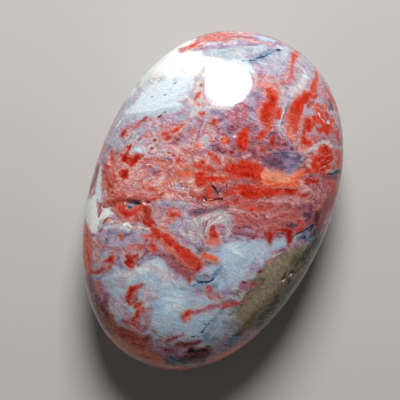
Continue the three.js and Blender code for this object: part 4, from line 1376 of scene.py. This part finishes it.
    def sink(self):
        """Opens the pits and the seam, and marks where the surface is left rough."""
        normals = np.empty(self.spots.size)
        self.mesh.vertices.foreach_get("normal", normals)
        depth = np.zeros(len(self.spots))
        crown = self.spots[:, 2] > self.view.girdle
        for x, y, long, wide, deep, turn in PITS.values():
            away = self.spots[:, :2] / MM - (x, y)
            turn = math.radians(turn)
            u = (away @ (math.cos(turn), math.sin(turn))) / (long / 2)
            v = (away @ (-math.sin(turn), math.cos(turn))) / (wide / 2)
            depth = np.maximum(depth, deep * np.sqrt(np.clip(1 - u * u - v * v, 0, 1)) * crown)
        near, inside = self.crisp(SEAM)
        groove = SEAM_DEPTH * smooth(inside * PIXELS_PER_MM / max(half for _, _, half in SEAM))
        depth[near] = np.maximum(depth[near], groove)
        self.rough = smooth(depth / SEAM_DEPTH)
        sunk = self.spots - normals.reshape(-1, 3) * (depth * MM)[:, None]
        self.mesh.vertices.foreach_set("co", sunk.ravel())
        self.mesh.update()

    def scatter(self):
        """Strews plumes over the underside."""
        chance = np.random.default_rng(KEEL_SEED)
        for _ in range(KEEL_PLUMES):
            turn, reach = chance.uniform(0, 2 * math.pi), math.sqrt(chance.uniform(*KEEL_REACH))
            across, along = KEEL_SPREAD
            away = (across * reach * math.cos(turn), along * reach * math.sin(turn))
            middle = np.array(STONE_MIDDLE) + away
            heading = math.radians(chance.uniform(-KEEL_HEADING, KEEL_HEADING))
            step = chance.uniform(*KEEL_STEP) * np.array((math.cos(heading), math.sin(heading)))
            bend = chance.uniform(-KEEL_BEND, KEEL_BEND, 2)
            half = chance.uniform(*KEEL_HALF_WIDTH)
            points = [
                (*(middle + step * end + bend * end * end), half * (1 - KEEL_TAPER * abs(end)))
                for end in (-1, 0, 1)
            ]
            tint, skirt = KEEL_TINTS[chance.integers(len(KEEL_TINTS))]
            self.plume(tint, skirt, KEEL_SKIRT, points, below=True)

    def store(self):
        """Keeps what was painted as the mesh's attributes, which the material reads."""
        for name in ("ground", "streak", "patch_colour", "line_colour"):
            layer = self.mesh.attributes.new(name, "FLOAT_COLOR", "POINT")
            values = getattr(self, name)
            rgba = np.hstack([to_linear(np.clip(values, 0, 1)), np.ones((len(values), 1))])
            layer.data.foreach_set("color", rgba.ravel())
        flow = self.mesh.attributes.new("flow", "FLOAT_VECTOR", "POINT")
        flow.data.foreach_set("vector", self.flow.ravel())
        for name in ("patch", "line", "moss", "grain", "rough"):
            layer = self.mesh.attributes.new(name, "FLOAT", "POINT")
            layer.data.foreach_set("value", getattr(self, name))


def paint_stone(mesh, colours, view):
    """Lays all the markings in turn, and opens the pits."""
    painter = Painter(mesh, colours, view)
    for wash in WASHES.values():
        painter.wash(*wash)
    for flow in FLOWS.values():
        painter.lean(*flow)
    for tint, skirt, skirt_width, *lines in PATCHES.values():
        for line in lines:
            painter.plume(tint, skirt, skirt_width, line)
    for tint, *lines in LINES.values():
        for line in lines:
            painter.stroke(tint, line)
    painter.scatter()
    painter.sink()
    painter.store()


# The stone's material

# Its noises: how large their lumps are, in metres, and their detail, roughness and distortion
WIDE_BENDS = (0.006, 2.0, 0.5, 0.0)
SMALL_BENDS = (0.0022, 2.0, 0.5, 0.0)
STREAKS = (0.0012, 5.0, 0.6, 0.4)
FIBRES = (0.0005, 3.0, 0.65, 0.4)
CLOUDS = (0.0032, 4.0, 0.6, 0.6)
PALE_CURLS = (0.0016, 4.0, 0.6, 0.4)
DARK_CURLS = (0.0021, 4.0, 0.6, 0.4)
ISLANDS = (0.0015, 5.0, 0.62, 0.3)
FRAY = (0.0011, 5.0, 0.72, 0.0)
MOTTLES = (0.0019, 4.0, 0.62, 0.0)
FLECKS = (0.0006, 2.0, 0.6, 0.8)
GRAINS = (0.0003, 2.0, 0.6, 0.0)
# What bends the other noises, and how far, in metres
BENDS = ((WIDE_BENDS, 0.005), (SMALL_BENDS, 0.0012))
# The curls, with their tint, how much of it they take, and how much they lighten what they cross
CURLS = ((PALE_CURLS, "film", 0.26, 0.3), (DARK_CURLS, "dusk", 0.18, -0.28))

# The noises' scale along the streaks, clouds and curls, which draws them out, and into the depth
STREAK_SCALE = 0.3
CLOUD_SCALE = 0.4
CURL_SCALE = 0.45
DEPTH_SCALE = 0.7

# Where each marking sets in, where it is full, and how strong it is then. The first ones go by the
# value of a noise, and those from the plume on by the millimetres inside their painted edges
ONSETS = {
    "streak": (0.42, 0.60, 1.0),
    "dark cloud": (0.50, 0.72, 0.5),
    "pale cloud": (0.46, 0.28, 0.3),
    "curl": (0.026, 0.0, 1.0),
    "island's rim": (0.50, 0.56, 0.35),
    "rim's inner end": (0.63, 0.57, 1.0),
    "thin island": (0.60, 0.72, 0.55),
    "thick island": (0.74, 0.86, 0.7),
    "dark mottle": (0.44, 0.68, 0.26),
    "pale mottle": (0.48, 0.28, 0.4),
    "bright fleck": (0.62, 0.72, 1.0),
    "dark fleck": (0.40, 0.30, 1.0),
    "plume": (-0.28, 0.20, 1.0),
    "plume's pale edge": (0.50, 0.0, 0.3),
    "plume's halo": (-0.80, -0.45, 0.1),
    "halo's inner end": (-0.10, -0.35, 1.0),
    "line": (-0.06, 0.06, 1.0),
}
MOSS_GROWTH = 0.22  # how much the painted moss adds to the islands' noise
PLUME_FRAY = 1.7  # how far the noise frays a plume's edge, in millimetres
LINE_FRAY = 0.35  # the same of a line's
PLUME_LIGHT = 1.06  # how light a plume is where it has no dark mottle

# How much the fibres, flecks and grains lighten and darken the stone, in shown colours
FIBRE_LIFT = 0.6
FLECK_LIFT = 0.07
GRAIN_LIFT = 0.42
# What share of that shows: where the ground has no grain, how much more with its grain, and how
# much it changes in a plume
CALM = 0.38
GRAINY = 0.82
IN_PLUME = -0.35
SHOWN_GAMMA = 2.2

REFRACTION = 1.54
GLOSS = 0.36
POLISHED = 0.07  # the roughness of the polished face
BROKEN = 0.5  # how much rougher the pits and the crack are


def agate_material(colours):
    """Polished agate: the painted colours, with streaks, moss, grain and ragged edges."""
    material = bpy.data.materials.new("polished agate")
    material.use_nodes = True
    tree = material.node_tree
    tree.nodes.clear()
    graph = Graph(tree)

    def painted(name, output="Fac"):
        return graph.out("ShaderNodeAttribute", output=output, attribute_name=name)

    def tint(name):
        return (*to_linear(getattr(colours, name)), 1)

    def noise_at(vector, kind, output=0):
        size, detail, roughness, distortion = kind
        return graph.out("ShaderNodeTexNoise", {
            "Vector": vector, "Scale": 1 / size, "Detail": detail, "Roughness": roughness,
            "Distortion": distortion,
        }, output)

    def shows(marking, value, *shares):
        """How much a marking shows, by its onset and any other shares."""
        start, full, strength = ONSETS[marking]
        made = graph.out(
            "ShaderNodeMapRange", {"Value": value, "From Min": start, "From Max": full},
            interpolation_type="SMOOTHSTEP",
        )
        for share in (*shares, strength):
            made = made * share
        return made

    def mix(share, first, second):
        return graph.out("ShaderNodeMix", {0: share, 6: first, 7: second}, 2, data_type="RGBA")

    place = graph.out("ShaderNodeTexCoord", output="Object")
    flowing = place
    for kind, far in BENDS:
        shift = graph.vector("SUBTRACT", noise_at(place, kind, "Color"), (0.5, 0.5, 0.5))
        flowing = graph.vector("ADD", flowing, graph.scaled(shift, far))
    flow = graph.outs("ShaderNodeSeparateXYZ", {0: painted("flow", "Vector")}).values()

    def drawn_out(kind, scale, degrees=0):
        """A noise that is drawn out one way, by so many degrees from level in the picture."""
        along = graph.out("ShaderNodeMapping", {
            "Vector": flowing, "Rotation": (0, 0, -TURN - math.radians(degrees)),
            "Scale": (scale, 1.0, DEPTH_SCALE),
        })
        return noise_at(along, kind)

    def streaks_of(kind, scale):
        """A noise that is drawn out the way that the streaks run."""
        mixed = drawn_out(kind, scale)
        for share, degrees in zip(flow, FLOW_TURNS.values()):
            mixed = (drawn_out(kind, scale, degrees) - mixed) * share + mixed
        return mixed

    moss = painted("moss")
    grain = painted("grain")
    streaks = shows("streak", streaks_of(STREAKS, STREAK_SCALE))
    ground = mix(streaks, painted("ground", "Color"), painted("streak", "Color"))
    clouds = drawn_out(CLOUDS, CLOUD_SCALE)
    ground = mix(shows("dark cloud", clouds, grain), ground, tint("murk"))
    ground = mix(shows("pale cloud", clouds, grain), ground, tint("film"))
    for kind, name, share, lift in CURLS:
        level = graph.math("ABSOLUTE", streaks_of(kind, CURL_SCALE) - 0.5)
        curl = shows("curl", level, grain)
        ground = graph.scaled(mix(curl * share, ground, tint(name)), curl * lift + 1.0)
    thick = moss * MOSS_GROWTH + noise_at(flowing, ISLANDS)
    island_rim = shows("island's rim", thick, shows("rim's inner end", thick), moss)
    ground = mix(island_rim, ground, tint("film"))
    ground = mix(shows("thin island", thick), ground, tint("thin_moss"))
    ground = mix(shows("thick island", thick), ground, tint("thick_moss"))

    frayed = noise_at(place, FRAY) - 0.5
    edge = frayed * PLUME_FRAY + painted("patch")
    mottles = noise_at(flowing, MOTTLES)
    darker = PLUME_LIGHT - shows("dark mottle", mottles)
    plume = graph.scaled(painted("patch_colour", "Color"), darker)
    plume = mix(shows("pale mottle", mottles), plume, tint("thin_moss"))
    plume = mix(shows("plume's pale edge", edge), plume, tint("thin_moss"))
    halo = shows("plume's halo", edge, shows("halo's inner end", edge))
    in_plume = shows("plume", edge)
    covered = mix(in_plume, mix(halo, ground, tint("film")), plume)
    in_line = shows("line", frayed * LINE_FRAY + painted("line"))
    covered = mix(in_line, covered, painted("line_colour", "Color"))

    flecks = noise_at(flowing, FLECKS)
    threads = shows("bright fleck", flecks) - shows("dark fleck", flecks)
    grains = noise_at(place, GRAINS) - 0.5
    fibres = streaks_of(FIBRES, STREAK_SCALE) - 0.5
    lift = fibres * FIBRE_LIFT + (threads * FLECK_LIFT + grains * GRAIN_LIFT)
    lift = lift * ((in_plume * IN_PLUME + 1.0) * (grain * GRAINY + CALM))
    shown = graph.out("ShaderNodeGamma", {"Color": covered, "Gamma": 1 / SHOWN_GAMMA})
    lifted = graph.vector("MAXIMUM", graph.vector("ADD", shown, lift), (0, 0, 0))
    finish = graph.out("ShaderNodeBsdfPrincipled", {
        "Base Color": graph.out("ShaderNodeGamma", {"Color": lifted, "Gamma": SHOWN_GAMMA}),
        "IOR": REFRACTION, "Specular IOR Level": GLOSS,
        "Roughness": painted("rough") * BROKEN + POLISHED,
    })
    graph.node("ShaderNodeOutputMaterial", {"Surface": finish})
    return material


# The studio

def plain_material(name, tint, roughness):
    material = bpy.data.materials.new(name)
    material.use_nodes = True
    shader = material.node_tree.nodes["Principled BSDF"]
    shader.inputs["Base Color"].default_value = (*to_linear(tint), 1)
    shader.inputs["Roughness"].default_value = roughness
    return material


def area_light(name, place, target, width, height, power):
    light = bpy.data.lights.new(name, "AREA")
    light.shape = "ELLIPSE"
    light.size = width
    light.size_y = height
    light.energy = power
    lamp = bpy.data.objects.new(name, light)
    bpy.context.collection.objects.link(lamp)
    lamp.location = place
    lamp.rotation_euler = (target - place).to_track_quat("-Z", "Y").to_euler()
    return lamp


class AGATE_OT_stone(bpy.types.Operator):
    """Build the agate, painted and polished, in place of its plain solid"""

    bl_idname = "agate.stone"
    bl_label = "Agate Stone"

    def execute(self, context):
        scene = context.scene
        material = agate_material(scene.agate_colours)
        mesh = shape_stone(scene.agate_sizes, material)
        view = View(scene.agate_sizes, scene.agate_studio.view_distance)
        paint_stone(mesh, scene.agate_colours, view)
        stone = bpy.data.objects.new("agate_stone", mesh)
        context.collection.objects.link(stone)
        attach(stone, "root")
        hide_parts(NODE)
        return {"FINISHED"}


class AGATE_OT_studio(bpy.types.Operator):
    """Set the pale floor, the soft lights and the camera"""

    bl_idname = "agate.studio"
    bl_label = "Studio"

    def execute(self, context):
        scene = context.scene
        studio = scene.agate_studio
        view = View(scene.agate_sizes, studio.view_distance)

        bpy.ops.mesh.primitive_plane_add(size=studio.floor_size)
        floor = context.object
        floor.name = "floor"
        floor.data.materials.append(plain_material("pale floor", studio.floor_colour, roughness=0.7))

        ray = view.ray(*HIGHLIGHT)
        hit, spot, normal, _ = bpy.data.objects["agate_stone"].ray_cast(view.place, ray)
        if not hit:
            raise RuntimeError("the highlight's pixel misses the stone")
        key_place = spot + ray.reflect(normal) * studio.key_distance
        area_light("key light", key_place, spot, studio.key_width, studio.key_height, studio.key_power)

        world = bpy.data.worlds.new("room")
        world.use_nodes = True
        background = world.node_tree.nodes["Background"].inputs
        background["Color"].default_value = (1, 1, 1, 1)
        background["Strength"].default_value = studio.room_light
        scene.world = world

        camera = bpy.data.cameras.new("camera")
        camera.sensor_width = 36
        camera.lens = view.focal * camera.sensor_width / PICTURE
        camera.clip_start = 0.01
        camera.clip_end = 20
        eye = bpy.data.objects.new("camera", camera)
        context.collection.objects.link(eye)
        eye.location = view.place
        eye.rotation_euler = (0, 0, TURN)
        scene.camera = eye
        scene.view_settings.view_transform = "Standard"
        return {"FINISHED"}


class AGATE_PT_panel(bpy.types.Panel):
    """The stone and its studio"""

    bl_idname = "AGATE_PT_panel"
    bl_label = "Agate"
    bl_space_type = "VIEW_3D"
    bl_region_type = "UI"
    bl_category = "Agate"

    def draw(self, context):
        for operator in OPERATORS:
            self.layout.operator(operator.bl_idname)


OPERATORS = (AGATE_OT_stone, AGATE_OT_studio)
CLASSES = (AgateSizes, AgateColours, AgateStudio, *OPERATORS, AGATE_PT_panel)


def register():
    for kind in CLASSES:
        bpy.utils.register_class(kind)
    bpy.types.Scene.agate_sizes = PointerProperty(type=AgateSizes)
    bpy.types.Scene.agate_colours = PointerProperty(type=AgateColours)
    bpy.types.Scene.agate_studio = PointerProperty(type=AgateStudio)


def unregister():
    del bpy.types.Scene.agate_studio
    del bpy.types.Scene.agate_colours
    del bpy.types.Scene.agate_sizes
    for kind in reversed(CLASSES):
        bpy.utils.unregister_class(kind)


def main():
    register()
    bpy.ops.agate.stone()
    bpy.ops.agate.studio()


if __name__ == "__main__":
    main()
